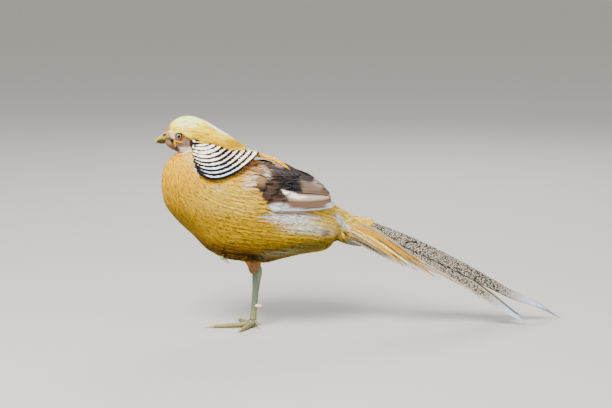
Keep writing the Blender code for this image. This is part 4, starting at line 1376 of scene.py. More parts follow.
@dataclass
class Crest:
    """The silky crest, laid from the forehead back over the nape."""

    core_depth: float = 2.6
    core_ends: tuple[float, float] = (0.15, 7.3)
    last_root: float = 7.0
    last_tip: float = 7.9
    half_turn: float = 0.265
    lock: Cut = Cut(10, 5, 0.5, 0.45, 0.2, 0.03, 0.3, 0.35, 0.1)
    wisp: Cut = Cut(8, 3, 0.7, 0.4, 0.1, 0.05, 0.0, 0.22, 0.0)
    locks: int = 620
    wisps: int = 900

    def colour(self, points: Array) -> Array:
        """Lemon on top of the head with a painted highlight at the top front, deeper gold low and behind,
        with a painted shadow under the lower edge over the eye.

        Args:
            points: Points in millimetres.

        Returns:
            A colour a point.
        """
        return paint(points, "#F6C800", [
            # the second patch below, pale yellow at the top front, is a painted highlight
            Patch(-84, 306, 50, 13, "#FFEE00"), Patch(-88, 301, 18, 9, "#FFFF98", 0.95, 1.0),
            Patch(-50, 293, 22, 3.4, "#FFFFF0", 0.9, 0.8, -34), Patch(-38, 268, 38, 7, "#B88600"),
            Patch(-62, 279, 26, 5, "#DCA400", 0.8, 0.8, -18), Patch(-97, 284, 14, 4, "#FFE648", 0.8),
            # the first patch below, dark gold along the lower edge over the eye, is painted shadow under the
            # crest
            Patch(-80, 277.2, 9, 2.4, "#9A6E00", 0.8), Patch(-117.6, 294, 4.0, 10, "#B48C00", 1.0, 0.5)])

    def build(self, draw: Draw) -> None:
        """The core and its feathers.

        Args:
            draw: The random draw.
        """
        rings = [(top, (2 * edge[0] - top[0], 2 * edge[1] - top[1]), half) for top, edge, half in CREST_EDGES]
        skin = Skin.slanted(rings)
        # Hair-like barbs without hooklets: bright fine strands
        silk = Plumage("silky lemon crest feathers", contrast=0.2, sheen=0.0, roughness=0.5, barb=0.6)
        core = Piece("crest_core", silk, "crest_plumage")
        s, t = ring_grid(*self.core_ends, 60, 48)
        shell = skin.point(s, t, np.full(s.shape, -self.core_depth))
        keel = spline(skin.knots, s)[..., 2]
        shell[..., 2] = np.where(shell[..., 2] < keel, keel + (shell[..., 2] - keel) * 0.22, shell[..., 2])
        points, faces, unwrap = loft(shell)
        # the core darkened to 0.85 as painted shade under the crest feathers
        core.add(points, faces, self.colour(points) * 0.85, None, unwrap)
        core.build()
        piece = Piece("crest", silk, "crest_plumage", 0.75)
        depth = self.core_depth + 0.4
        kinds = ((self.lock, self.locks, 1.25, 0.2), (self.wisp, self.wisps, 0.35, 0.55))
        for cut, count, half, high in kinds:
            root = self.last_root * draw.random(count) ** 1.15
            turn = draw.uniform(-self.half_turn, self.half_turn, count)
            reach = np.minimum(root + draw.uniform(1.6, 3.2, count), self.last_tip)
            f = cut.shares()
            track_s = root[:, None] + (reach - root)[:, None] * f
            sway = draw.normal(0.0, 0.008, count)[:, None] * np.sin(math.pi * f)
            track_t = turn[:, None] * (1 - 0.08 * f) + sway
            lift = -depth + depth * f ** 0.55 + draw.uniform(-0.5, 0.8, (count, 1)) * high * f
            wide = half * draw.uniform(0.7, 1.2, count)
            group = lay(skin, track_s, track_t, wide, lift, cut, draw)
            own = np.exp(draw.normal(0.0, 0.05, (count, 1, 1)))
            tone = np.clip(self.colour(group.points) * own * group.shade(0.92), 0.0, 1.0)
            piece.feathers(group, tone, 1.0, (skin.last, 1.0))
        piece.build()


@dataclass
class Cape:
    """Broad square-tipped feathers with a black edge, in rows that run back from the cheek over the nape.

    Each row's tips lie on a curve seen from the side, given by its front end, pull point and hind end.
    """

    # How far the cape stands over the back, by ring
    over_back: tuple = (1.0, 3.0, 6.0, 8.5, 10.0, 8.0, 4.5, 1.5, 0.0)
    top_row: tuple = ((-80.2, 273.3), (-69.3, 271.1), (-63.4, 277.6))
    middle_row: tuple = ((-80.6, 251.9), (-50.0, 240.2), (-23.0, 268.0))
    bottom_row: tuple = ((-76.3, 233.9), (-50.4, 203.1), (13.6, 254.6))
    rows: int = 11
    width: float = 7.6
    length: float = 22.0
    rise: tuple[float, float] = (-1.0, 4.2)
    overrun: float = 1.09     # where the rows stop on their curve, its hind end being 1
    pitch: float = 0.6        # distance of two feathers as a share of their width
    band_start: float = 1.8   # where the black band begins, inward from the row's curve
    cut: Cut = Cut(10, 9, 0.6, 0.5, 0.86, 0.012, 0.16, 0.4, 0.1)

    def curve(self, share: float, u: Array) -> Pair:
        """A row's curve seen from the side.

        Args:
            share: The row, 0 being the top one and 1 the bottom one.
            u: Where on the curve, from its front end at 0 to its hind end at 1.

        Returns:
            Points, and directions pointing off the curve, away from the nape.
        """
        mix = ((1 - share) * (1 - 2 * share), 4 * share * (1 - share), share * (2 * share - 1))
        rows = (self.top_row, self.middle_row, self.bottom_row)
        front, pull, hind = sum(m * np.array(row) for m, row in zip(mix, rows))
        u = u[:, None]
        points = front * (1 - u) ** 2 + 2 * pull * u * (1 - u) + hind * u ** 2
        run = unit(2 * (pull - front) * (1 - u) + 2 * (hind - pull) * u)
        return points, np.stack([run[:, 1], -run[:, 0]], axis=1)

    def inward(self, share: float, points: Array) -> Array:
        """How far points lie from a row's curve towards the nape, seen from the side.

        Args:
            share: The row, from 0 at the top to 1.
            points: Points in millimetres.

        Returns:
            Distances in millimetres.
        """
        line, away = self.curve(share, np.linspace(-0.1, 1.3, 90))
        off = points[..., None, ::2] - line
        near = np.argmin(np.sum(off ** 2, axis=-1), axis=-1)
        step = np.take_along_axis(off, near[..., None, None], axis=-2)[..., 0, :]
        return np.maximum(-dot(step, away[near]), 0.0)

    def raised(self) -> Skin:
        """The surface that the cape lies on, which bulges over the flesh of the back.

        Returns:
            The surface.
        """
        rings = list(HEAD_RINGS)
        for ring, lift in zip(BODY_RINGS, self.over_back + (0.0,) * len(BODY_RINGS)):
            rings.append(((ring[0][0], ring[0][1] + lift), ring[1], ring[2]))
        return Skin.slanted(rings + STUB_RINGS)

    def build(self, draw: Draw) -> None:
        """The cape on both sides and over the back.

        Args:
            draw: The random draw.
        """
        # Closed stiff vanes: pale and even, with a hard black band
        finish = Plumage("cape feathers with black tips", Grain.BARBED, Marking.BAND, "#0C0A0C", barb=0.6,
                         contrast=0.14, roughness=0.5, glow=0.0, mark_size=3.4)
        piece = Piece("cape", finish, "cape_plumage", 0.4)
        skin = self.raised()
        for row in range(self.rows):
            share = row / (self.rows - 1)
            u = np.linspace(0.0, self.overrun, 220)
            line, _ = self.curve(share, u)
            s, t = skin.side_place(line[:, 0], line[:, 1], NAPE - 1.5, NAPE + 6.0)
            seen = skin.bare(s, t)
            inside = np.hypot(seen[:, 0] - line[:, 0], seen[:, 2] - line[:, 1]) < 5.5
            arc = seen[inside]
            run = np.concatenate([[0.0], np.cumsum(np.linalg.norm(np.diff(arc, axis=0), axis=1))])
            count = max(2, round(run[-1] / (self.width * self.pitch)))
            spots = (np.arange(count) + (0.2 if row % 2 else 0.7)) / count * run[-1]
            tips, away = self.curve(share, np.interp(spots, run, u[inside]))
            f = self.cut.shares()
            back = self.length * (0.55 + 0.45 * share) * (1 - f) + draw.normal(0.0, 0.3, (count, 1))
            x = tips[:, :1] - away[:, :1] * back
            z = tips[:, 1:] - away[:, 1:] * back
            track_s, track_t = skin.side_place(x, z, NAPE - 1.5, NAPE + 6.0)
            low, high = self.rise
            under_crest = 2.2 * np.exp(-((tips[:, :1] + 28) / 16) ** 2)
            lift = low + (high - low - under_crest) * f ** 0.9 + draw.uniform(-0.2, 0.2, (count, 1))
            hind = smooth((tips[:, 0] + 35) / 40)
            half = self.width / 2 * draw.uniform(0.94, 1.06, count) * (1 - 0.35 * hind)
            for side in (1, -1):
                group = lay(skin, track_s, side * track_t, half, lift, self.cut, draw)
                inward = self.inward(share, group.points)
                narrow = 1.25 + 0.35 * smooth((-54 - group.points[..., 0]) / 20)
                group.vane[..., 1] = np.maximum(inward - self.band_start, 0.0) * narrow
                mid = group.points.mean(axis=1)
                tone = paint(mid, "#EFE4CC", [Patch(-45, 232, 44, 16, "#CBD6DE", 0.9),
                                              Patch(-24, 256, 22, 10, "#E8D4A4", 0.5)])
                # painted shade: each feather darker towards its root, which lies under the next feathers
                shade = (0.8 + 0.16 * group.along)[None, :, None]
                piece.feathers(group, varied(tone, 0.05, draw)[:, None] * shade, 1.0)
        piece.build()


@dataclass(frozen=True)
class WingRow:
    """A row of wing feathers seen from the side: first shaft, step to the next, count and heights."""

    start: tuple[float, float]
    end: tuple[float, float]
    start_step: tuple[float, float]
    end_step: tuple[float, float]
    count: int
    half: float
    heights: tuple[float, float, float]
    tilt: float
    bow: float
    cut: Cut


@dataclass
class Wing:
    """A folded wing over the body's side, with its coverts and scapulars; side is -1 on the bird's left."""

    side: int
    name: str
    sheet: tuple = ((4, 22, 243, 40, 46, 224), (20, 13, 245, 50, 54.5, 194), (37, 10, 240, 49, 55.5, 180),
                    (57, 9, 230.5, 44, 52.5, 176.5), (73, 8, 223, 39, 48.5, 176.5),
                    (88, 7, 217, 33, 43.5, 177), (102, 7, 210, 27, 37, 178), (110, 8, 199, 24, 32, 180),
                    (119, 12, 187, 19, 25, 183.5))
    long_cut: Cut = Cut(22, 9, 0.6, 0.6, 0.25, 0.008, 0.9, 0.5, 0.08)
    short_cut: Cut = Cut(14, 9, 0.55, 0.6, 0.5, 0.02, 0.7, 0.45, 0.1)

    def rows(self) -> dict[str, WingRow]:
        """The rows from the flight feathers up to the scapulars.

        Returns:
            The rows by name.
        """
        long, short = self.long_cut, self.short_cut
        return {
            "secondaries": WingRow((30, 182), (117, 181.5), (2.0, 4.2), (-1.4, 3.0), 7, 4.8, (0.0, 0.6, 0.6),
                                   0.8, 0.5, long),
            "tertials": WingRow((44, 206), (113, 197), (3.6, 7.4), (-7.0, 6.6), 5, 7.0, (0.4, 2.0, 2.2),
                                0.8, 2.5, long),
            "greater_coverts": WingRow((14, 190), (38, 183), (2.8, 5.8), (4.4, 6.6), 8, 4.8, (0.4, 2.6, 3.4),
                                       0.7, 0.0, short),
            "median_coverts": WingRow((8, 206), (28, 197), (3.8, 5.2), (5.6, 6.4), 8, 5.2, (0.4, 3.2, 4.4),
                                      0.7, 0.0, short),
            "lesser_coverts": WingRow((5, 222), (20, 210), (5.0, 4.0), (6.6, 4.8), 7, 5.4, (0.4, 3.6, 5.0),
                                      0.7, 0.0, short),
            "scapulars": WingRow((6, 234), (25, 222), (7.0, 0.4), (8.6, -0.4), 6, 6.0, (0.4, 4.0, 5.6),
                                 0.7, 0.0, short)}

    def colour(self, points: Array) -> Array:
        """The wing's patches as seen from the side.

        Args:
            points: Points in millimetres.

        Returns:
            A colour a point.
        """
        tips = [Patch(46 + 4.2 * k, 203.5 - 1.3 * k, 6.5, 1.2, "#F4ECE0", 0.9, 0.8, -48) for k in range(5)]
        teeth = [Patch(52 + 5 * k, 208 - 0.6 * k, 6, 1.6, "#0A0708", 0.95, 0.6, -50) for k in range(4)]
        return paint(points, "#402C20", [
            Patch(90, 202, 44, 18, "#5C4C3C", 1.0, 0.5, -4),
            Patch(96, 213, 20, 6, "#74645A", 0.9, 0.9, -32),
            Patch(92, 200, 26, 3, "#4E3C30", 0.8, 0.9, -10),
            Patch(106, 200, 9, 10, "#4A3428", 0.8, 0.8),
            Patch(84, 188, 46, 7, "#5C4434", 1.0, 0.5, 2),
            Patch(82, 195, 32, 3.6, "#9A8876", 0.9, 0.9, -2),
            Patch(72, 177.5, 60, 2.4, "#9A9EA2", 0.9, 0.9, 1),
            Patch(113, 182.5, 9, 3.4, "#A8ACB4", 0.8, 0.9),
            Patch(35, 184.5, 14, 6, "#B8C4CC", 1.0, 0.9),
            Patch(50, 180, 20, 3, "#A8B0B4", 0.8, 0.9),
            Patch(22, 209, 14, 12, "#2E2018", 1.0, 0.9),
            Patch(31, 224, 9, 9, "#3A2820", 0.9, 0.9),
            Patch(52, 219, 18, 13, "#0A0708", 1.0, 0.8, -20),
            Patch(40, 204, 9, 8, "#1E120E", 0.9, 0.8),
            Patch(61, 211, 8, 9, "#080608", 1.0, 0.9, 20), *teeth,
            Patch(42, 231, 15, 8, "#251A18", 0.9, 0.8, -20),
            Patch(60, 230, 16, 7, "#120C0C", 0.9, 0.6, -28),
            Patch(78, 222, 13, 7, "#241A17", 1.0, 0.35, -28), *tips,
            Patch(64, 198, 12, 2.4, "#D0C4B6", 0.8, 0.9, -8),
            Patch(10, 225, 10, 9, "#7A5A38", 0.9, 1.2),
            Patch(19, 235, 8, 2.0, "#A08C78", 0.7, 1.2, -34),
            Patch(22, 227, 5, 2.4, "#C8BCB0", 0.7, 1.2, -34),
            Patch(4, 236, 7, 10, "#8A4E2C", 0.8, 0.9),
            Patch(26, 214, 5, 12, "#32241A", 0.7, 0.9, 20),
            Patch(33, 241, 14, 2.8, "#8C7868", 0.8, 0.9, -24),
            Patch(60, 233, 24, 3.4, "#1C1412", 0.9, 0.5, -28)])

    def build(self, draw: Draw) -> None:
        """The core and every feather of the wing.

        Args:
            draw: The random draw.
        """
        sheet = WingSheet(self.sheet, self.side)
        # Vanes closed by hooklets: smooth and matt, with a faint slanting grain
        vane = Plumage("closed wing vanes", Grain.BARBED, contrast=0.2, barb=0.7, glow=0.0, roughness=0.62)
        piece = Piece("feathers_" + self.name, vane, "wing_plumage", 0.35)
        core = Cut(26, 17)
        row, across, face, faces = core.grid()
        s = 0.1 + (sheet.last - 0.7) * row / (core.rows - 1)
        t = 0.5 + 0.47 * across
        points = sheet.point(s, t, -1.3 + 0.7 * face)
        # the core darkened to 0.9 as painted shade under the wing feathers
        piece.add(points, faces, self.colour(points) * 0.9, None, np.stack([s / sheet.last, t], axis=1))
        for row in self.rows().values():
            f = row.cut.shares()
            k = np.arange(row.count)[:, None]
            start = [row.start[i] + row.start_step[i] * k for i in (0, 1)]
            end = [row.end[i] + row.end_step[i] * k + draw.uniform(-1, 1, (row.count, 1)) for i in (0, 1)]
            x = start[0] + (end[0] - start[0]) * f
            z = start[1] + (end[1] - start[1]) * f + row.bow * np.sin(math.pi * f)
            s, t = sheet.place(x, z)
            lift = np.interp(f[0], (0.0, 0.5, 1.0), row.heights)[None] + 0.12 * (row.count - k) + 0 * f
            lift = lift * (0.1 + 0.9 * smooth(t / 0.3))
            group = lay(sheet, s, t, np.full(row.count, row.half), lift, row.cut, draw, row.tilt * self.side)
            tone = self.colour(group.points)
            rim = smooth((np.abs(group.across) - 0.6) / 0.4)[None, :, None] * 0.16
            tone = tone * (1 - rim) + (tone * 0.4 + 0.5 * linear("#D9CBB8")) * rim
            tone *= np.exp(draw.normal(0.0, 0.06, (row.count, 1, 1)))
            piece.feathers(group, tone)
        piece.build(self.name)


@dataclass
class Mantle:
    """Golden silky feathers over the back, between the cape and the rump and between both wings."""

    skin: Skin
    cut: Cut = Cut(8, 5, 0.5, 0.4, 0.3, 0.05, 0.6, 0.4, 0.1)
    count: int = 360

    def build(self, draw: Draw) -> None:
        """All of the mantle.

        Args:
            draw: The random draw.
        """
        # Loose barbs, drawn finer than on the body: deep gold with soft streaks
        finish = Plumage("silky golden mantle feathers", contrast=0.2)
        piece = Piece("mantle", finish, "golden_plumage", 0.6)
        s = draw.uniform(NAPE + 1.6, NAPE + 7.2, self.count)
        t = draw.uniform(-0.03, 0.03, self.count)
        heading, length = draw.normal(0.0, 0.06, self.count), draw.uniform(18, 26, self.count)
        track_s, track_t = self.skin.walk(s, t, heading, length, self.cut.rows)
        f = self.cut.shares()
        high = np.interp(s, (NAPE + 1.6, NAPE + 3.0, NAPE + 5.0, NAPE + 7.2), (0.6, 0.6, 0.2, 0.2))[:, None]
        lift = -4.0 + (high + draw.uniform(-0.6, 0.6, (self.count, 1)) + 4.0) * f ** 0.6
        group = lay(self.skin, track_s, track_t, draw.uniform(1.0, 1.7, self.count), lift, self.cut, draw)
        colour = varied(np.broadcast_to(linear("#F4AE00"), (self.count, 3)), 0.07, draw)
        piece.feathers(group, colour[:, None] * group.shade(0.88), 1.0, (self.skin.last, 1.0))
        piece.build()


@dataclass
class Tail:
    """The long vaulted tail: flight feathers in pairs, silky coverts and the narrow orange ones over them."""

    layer: float = 1.25
    flight_root: float = 146.0
    floor: float = 0.05       # lowest height of a feather on the ground
    # Left and right tip, distance down the roof at root and tip, half width
    pairs: tuple = ((438, 461, 13, 6.5, 12), (398, 404, 16, 44, 10.5), (336, 342, 21, 38, 10.5),
                    (300, 304, 25, 37, 10), (266, 270, 29, 44, 9.5), (228, 232, 33, 49, 9))
    # Root, tip, distance down the roof at root and tip, half width
    spikes: tuple = ((136, 262, 13, 52, 2.6), (136, 236, 22, 55, 2.4), (137, 247, 8, 40, 2.4),
                     (136, 214, 28, 58, 2.4), (138, 222, 7, 30, 2.2), (137, 200, 20, 46, 2.3),
                     (136, 190, 31, 52, 2.2), (137, 228, 15, 45, 2.3), (138, 196, 8, 26, 2.0),
                     (136, 206, 25, 52, 2.2), (137, 184, 14, 34, 2.2), (136, 180, 26, 44, 2.0),
                     (138, 210, 11, 38, 1.8), (137, 218, 18, 48, 2.0))
    spike_colours: tuple = ("#9E6C00", "#E0C26A", "#7E7260", "#AC7C08", "#A89678", "#BE8E20", "#605240")
    cover: Cut = Cut(7, 5, 0.5, 0.45, 0.2, 0.06, 0.8, 0.3, 0.06)
    covers: int = 620
    vane: Cut = Cut(64, 11, 0.6, 0.35, 0.12, 0.0015, 1.2, 0.7, 0.05)
    spike: Cut = Cut(26, 7, 0.8, 0.4, 0.08, 0.004, 0.8, 0.6, 0.08)

    def track(self, roof: Roof, root: float, tip: float, high: float, low: float, half: float,
              cut: Cut) -> Pair:
        """The places of one feather's shaft on the roof, with its inner edge kept at the ridge.

        Args:
            roof: The half of the tail.
            root: Where the feather starts, by x.
            tip: Where it ends, by x.
            high: Distance down the roof at the root.
            low: Distance down the roof at the tip.
            half: Half width.
            cut: The feather's kind.

        Returns:
            First and second coordinates.
        """
        f = np.linspace(0.0, 1.0, cut.rows)
        reach = high + (low - high) * f ** 1.3
        reach = np.maximum(reach, half * cut.outline(f) + 0.45)
        return roof.time(root + (tip - root) * f)[None], reach[None]

    def main_colour(self, group: Feathers, pair: int) -> Pair:
        """Colour and strength of the marking of a flight feather.

        Args:
            group: The laid feather.
            pair: Its pair, the middle one being 0.

        Returns:
            Colours by point, and the marking's strength by point.
        """
        tip = smooth(1.25 * (1 - group.vane[..., 1] / (80.0 if pair else 86.0)))[..., None]
        colour = blend(linear("#9C9484" if pair < 2 else "#8A8070"), "#A4B0C0", tip)
        edge = smooth((np.abs(group.across) - 0.72) / 0.2)[None, :, None]
        if pair:
            colour = blend(colour, "#E0CC9C", edge)
        strength = (1 - tip[..., 0] ** 0.6) * (1 - (edge[..., 0] if pair else 0.0))
        return colour, strength

    def cover_root(self, piece: Piece, roof: Roof, draw: Draw) -> None:
        """Long golden feathers from the rump over the roots of the tail, furthest along its top.

        Args:
            piece: The piece that it belongs to.
            roof: The half of the tail.
            draw: The random draw.
        """
        down = draw.uniform(0.0, 30.0, self.covers)
        root = draw.uniform(129.0, 148.0, self.covers) + 0.35 * np.maximum(down - 12.0, 0.0)
        tip = root + draw.uniform(14.0, 34.0, self.covers) - down * 0.3
        f = self.cover.shares()
        s = roof.time(root[:, None] + (tip - root)[:, None] * f)
        reach = down[:, None] + 0.25 * down[:, None] * f
        lift = -7.0 + (9.6 + draw.uniform(-0.5, 0.8, (self.covers, 1))) * f ** 0.7 - 0.8 * f ** 2
        group = lay(roof, s, reach, draw.uniform(0.8, 1.4, self.covers), lift, self.cover, draw)
        tone = paint(group.points.mean(axis=1), "#FFC030", [Patch(142, 138, 22, 9, "#B08420", 0.9, 1.0, -20)])
        tone = varied(tone, 0.07, draw)[:, None] * group.shade(0.92)
        piece.feathers(group, tone, 1.0, (roof.last, 60.0))

    def build(self, draw: Draw) -> None:
        """Every feather of the tail.

        Args:
            draw: The random draw.
        """
        # Long closed vanes: pale and matt, with a dark net or with soft brown bars
        netted = Plumage("netted tail vanes", Grain.BARBED, Marking.NET, "#1E1814", barb=0.8, contrast=0.14,
                         roughness=0.5, glow=0.0, mark_size=3.5)
        brown = Plumage("barred tail vanes", Grain.BARBED, Marking.BARS, "#5B4A3C", barb=0.8, contrast=0.18,
                        roughness=0.5, glow=0.0, mark_size=2.6)
        # Narrow closed vanes: stiff blades that let a little light through
        orange = Plumage("orange tail coverts", Grain.BARBED, barb=0.7, glow=0.1)
        # Loose barbs like those of the mantle: soft gold strands
        silky = Plumage("long silky rump feathers", contrast=0.2)
        net, barred, coverts = (Piece(name, finish, "tail_plumage") for name, finish in (
            ("tail_middle", netted), ("tail_sides", brown), ("tail_coverts", orange)))
        gold = Piece("rump_feathers", silky, "golden_plumage", 0.7)
        for side in (-1, 1):
            roof = Roof(side)
            for pair, (left, right, high, low, half) in enumerate(self.pairs):
                tip = left if side < 0 else right
                s, t = self.track(roof, self.flight_root, tip, high, low, half, self.vane)
                lift = np.full(s.shape, -self.layer * pair)
                group = lay(roof, s, t, np.array([half], float), lift, self.vane, draw, 0.0, self.floor)
                colour, strength = self.main_colour(group, pair)
                (net if pair < 2 else barred).feathers(group, colour, strength)
            for k, (root, tip, high, low, half) in enumerate(self.spikes):
                s, t = self.track(roof, root, tip + draw.uniform(-3, 3), high, low, half, self.spike)
                lift = (3.6 + 0.8 * (k % 4)) * smooth(np.linspace(0.0, 4.0, self.spike.rows))[None] - 2.0
                group = lay(roof, s, t, np.array([half], float), lift, self.spike, draw, 0.0, self.floor)
                edge = smooth((np.abs(group.across) - 0.5) / 0.4)[None, :, None]
                end = smooth((group.along - 0.82) / 0.12)[None, :, None] * (k < 4)
                colour = linear(self.spike_colours[k % len(self.spike_colours)])
                coverts.feathers(group, blend(blend(colour, "#B4924A", edge), "#9C6200", end))
            self.cover_root(gold, roof, draw)
        gold.build()
        net.build("tail")
        barred.build()
        coverts.build()


@dataclass
class Thigh:
    """The feathered leg above the hock."""

    line: tuple = ((-8, 13, 128), (-5, 11, 114), (-1, 9.2, 104), (2.6, 7.8, 96), (4.2, 6.9, 88),
                   (4.7, 6.4, 82), (5.4, 6.1, 76.5))
    radii: tuple = ((24, 20), (20, 17), (13.5, 12.5), (11, 9.8), (9.2, 8.4), (7.8, 7), (4.2, 4))
    depth: float = 1.3
    cut: Cut = Cut(5, 5, 0.5, 0.5, 0.35, 0.06, 0.6, 0.28, 0.1)

    def build(self, draw: Draw) -> None:
        """Skin and coat of the thigh.

        Args:
            draw: The random draw.
        """
        line, radii = np.array(self.line, float), np.array(self.radii, float)
        ahead = unit(np.gradient(line, axis=0))
        deep = unit(np.cross(ahead, [0.0, 1.0, 0.0]))
        wide = np.cross(ahead, deep)
        skin = Skin(line, deep * radii[:, :1], wide * radii[:, 1:])
        # Short loose feathers: a soft brown stocking
        finish = Plumage("short thigh feathers", contrast=0.2)
        piece = Piece("thigh", finish, "golden_plumage", 0.6)
        s, t = ring_grid(0.0, skin.last, 50, 40)
        points, faces, unwrap = loft(skin.point(s, t, np.full(s.shape, -self.depth)))
        # the near-black patch at the top of the thigh, at x 0 and z 112, is painted shadow under the belly
        tone = [Patch(2, 94, 18, 14, "#94643C"), Patch(-7, 98, 4, 18, "#C88430", 0.7),
                Patch(0, 112, 30, 9, "#221408")]
        # the skin darkened to 0.85 as painted shade under the thigh feathers
        piece.add(points, faces, paint(points, "#8A5A30", tone) * 0.85, None, unwrap)
        s, t = scatter(skin, (0.1, 5.6), (0.0, 1.0), lambda s, t: 1.7 - 0.1 * s, draw)
        length = 9.0 - 0.95 * s
        track_s, track_t = skin.walk(s, t, draw.normal(0.0, 0.12, len(s)), length, self.cut.rows)
        f = self.cut.shares()
        lift = -self.depth + 0.2 + (self.depth + 0.1) * f + draw.uniform(-0.2, 0.3, (len(s), 1)) * f
        group = lay(skin, track_s, track_t, 1.7 - 0.15 * s, lift, self.cut, draw)
        colour = varied(paint(group.points.mean(axis=1), "#8A5A30", tone), 0.08, draw)
        piece.feathers(group, colour[:, None] * group.shade(0.85), 1.0, (skin.last, 1.0))
        piece.build("thigh_right")


@dataclass
class Eye:
    """An eyeball with iris and pupil, between thick lids; side is -1 on the bird's left."""

    flesh: Flesh
    side: int
    name: str
    place: tuple[float, float] = (-101.3, 280.2)
    lid: tuple[float, float] = (5.3, 4.0)
    fold: tuple = ((-107.4, 273.6), (-104.0, 272.9), (-99.0, 271.8), (-93.6, 272.8))
    crease: tuple = ((-106.4, 275.8), (-102.0, 274.4), (-98.0, 274.2), (-94.2, 275.6))
    lappet: tuple = ((-107.4, 274.6), (-107.4, 271.6), (-106.9, 268.0), (-106.4, 264.4))
    out: float = 10.9
    radius: float = 5.2
    iris: float = 3.4
    pupil: float = 2.25

    def ball(self) -> None:
        """The eyeball, its colours in rings round the line of sight."""
        centre = np.array([self.place[0], self.side * self.out, self.place[1]])
        sight = unit(np.array([-0.06, self.side, 0.02]))
        up = unit(np.cross(sight, [1.0, 0.0, 0.0]))
        aside = np.cross(up, sight)
        swing, turn = ring_grid(0.01, math.pi - 0.01, 72, 64)
        angle = 2 * math.pi * turn
        ring = (np.cos(swing)[..., None] * sight + np.sin(swing)[..., None]
                * (np.cos(angle)[..., None] * aside + np.sin(angle)[..., None] * up))
        bulge = 1 + 0.05 * smooth(1 - swing / 0.75)
        points, faces, unwrap = loft(centre + ring * (self.radius * bulge)[..., None])
        far = np.concatenate([(np.sin(swing) * self.radius + 10 * (swing > 1.57)).ravel(), [0.0, 20.0]])
        rays = 0.5 + 0.5 * np.sin(angle * 23 + 3 * np.sin(angle * 7))
        streak = np.concatenate([rays.ravel(), [0.5, 0.5]])[:, None]
        iris = linear("#5C6A54") * (1 - 0.25 * streak) + linear("#E6E2BC") * 0.24 * streak
        rim = smooth((far - self.iris * 0.86) / 0.5)[:, None]
        hole = smooth((self.pupil + 0.12 - far) / 0.24)[:, None]
        colour = blend(blend(iris, "#4A3A22", rim), "#080808", hole)
        # Clear tissue under a film of tears: a small sharp glint
        finish = Hide("wet eye", roughness=0.16, coat=0.12, grain=0.6, contrast=0.05, bump=0.0, gloss=0.2)
        piece = Piece("eyeball_" + self.name, finish, "eye")
        piece.add(points, faces, colour, None, unwrap)
        piece.build("eye_" + self.name)

    def lids(self) -> None:
        """Both lids as one almond ring, the fold under them and the small hanging wattle."""
        # Bare wrinkled skin: satin, with fine creases
        finish = Hide("bare face skin", grain=0.5, contrast=0.2, bump=0.6, gloss=0.1)
        piece = Piece("face_skin_" + self.name, finish, "crest_plumage")
        count, sides = 72, 14
        angle = (2 * math.pi * np.arange(count) / count)[:, None]
        round_angle = (2 * math.pi * np.arange(sides) / sides)[None]
        thick = 0.7 + 0.3 * np.maximum(np.sin(angle), 0) + 0.04 * np.sin(angle * 26)
        radius_x = self.lid[0] + thick * np.cos(round_angle)
        radius_z = self.lid[1] + thick * np.cos(round_angle)
        x, z = self.flesh.eye
        seat = self.flesh.beside(x + self.lid[0] * np.cos(angle), z + self.lid[1] * np.sin(angle))
        sit = seat - 0.7 + thick * np.sin(round_angle) * np.where(np.sin(round_angle) < 0, 1.8, 1.0)
        rings = np.stack([x + radius_x * np.cos(angle), self.side * sit, z + radius_z * np.sin(angle)], -1)
        index = np.arange(count * sides).reshape(count, sides)
        on, up = np.roll(index, -1, axis=0), np.roll(index, -1, axis=1)
        faces = np.stack([index, on, np.roll(on, -1, axis=1), up], axis=-1).reshape(-1, 4)
        faces = faces if self.side > 0 else faces[:, ::-1]
        front = smooth((-np.cos(angle) - 0.55) / 0.35)[..., None]
        rear = (smooth((np.cos(angle) - 0.45) / 0.4) * smooth((0.75 - np.sin(angle)) / 0.4))[..., None]
        above = smooth((np.sin(angle) - 0.1) / 0.4)[..., None]
        lid = np.broadcast_to(linear("#542A18"), rings.shape)
        for share, shade in ((above, "#120806"), (front, "#741600"), (rear, "#9C3C00")):
            lid = blend(lid, shade, share)
        bake = np.stack([np.broadcast_to(np.arange(count)[:, None] / count, (count, sides)),
                         np.broadcast_to(np.arange(sides)[None] / sides, (count, sides))], axis=-1)
        piece.add(rings.reshape(-1, 3), faces, lid.reshape(-1, 3), None, bake.reshape(-1, 2) * 0.45)
        folds = [(self.fold, [(0.9, 0.8), (1.2, 1.0), (1.1, 1.0), (0.4, 0.4)], "#9A7400"),
                 (self.crease, [(0.3, 0.3), (0.6, 0.5), (0.6, 0.5), (0.3, 0.3)], "#6A3A20"),
                 (self.lappet, [(1.0, 1.0), (1.4, 1.3), (1.2, 1.1), (0.3, 0.3)], "#B48C00")]
        for places, radii, colour in folds:
            x, z = np.array(places).T
            knots = np.stack([x, self.side * (self.flesh.beside(x, z) - 0.2), z], axis=1)
            points, tris, unwrap = loft(bar(knots, radii, 36, 14))
            piece.add(points, tris, np.broadcast_to(linear(colour), points.shape), None, unwrap * 0.4 + 0.5)
        piece.build()


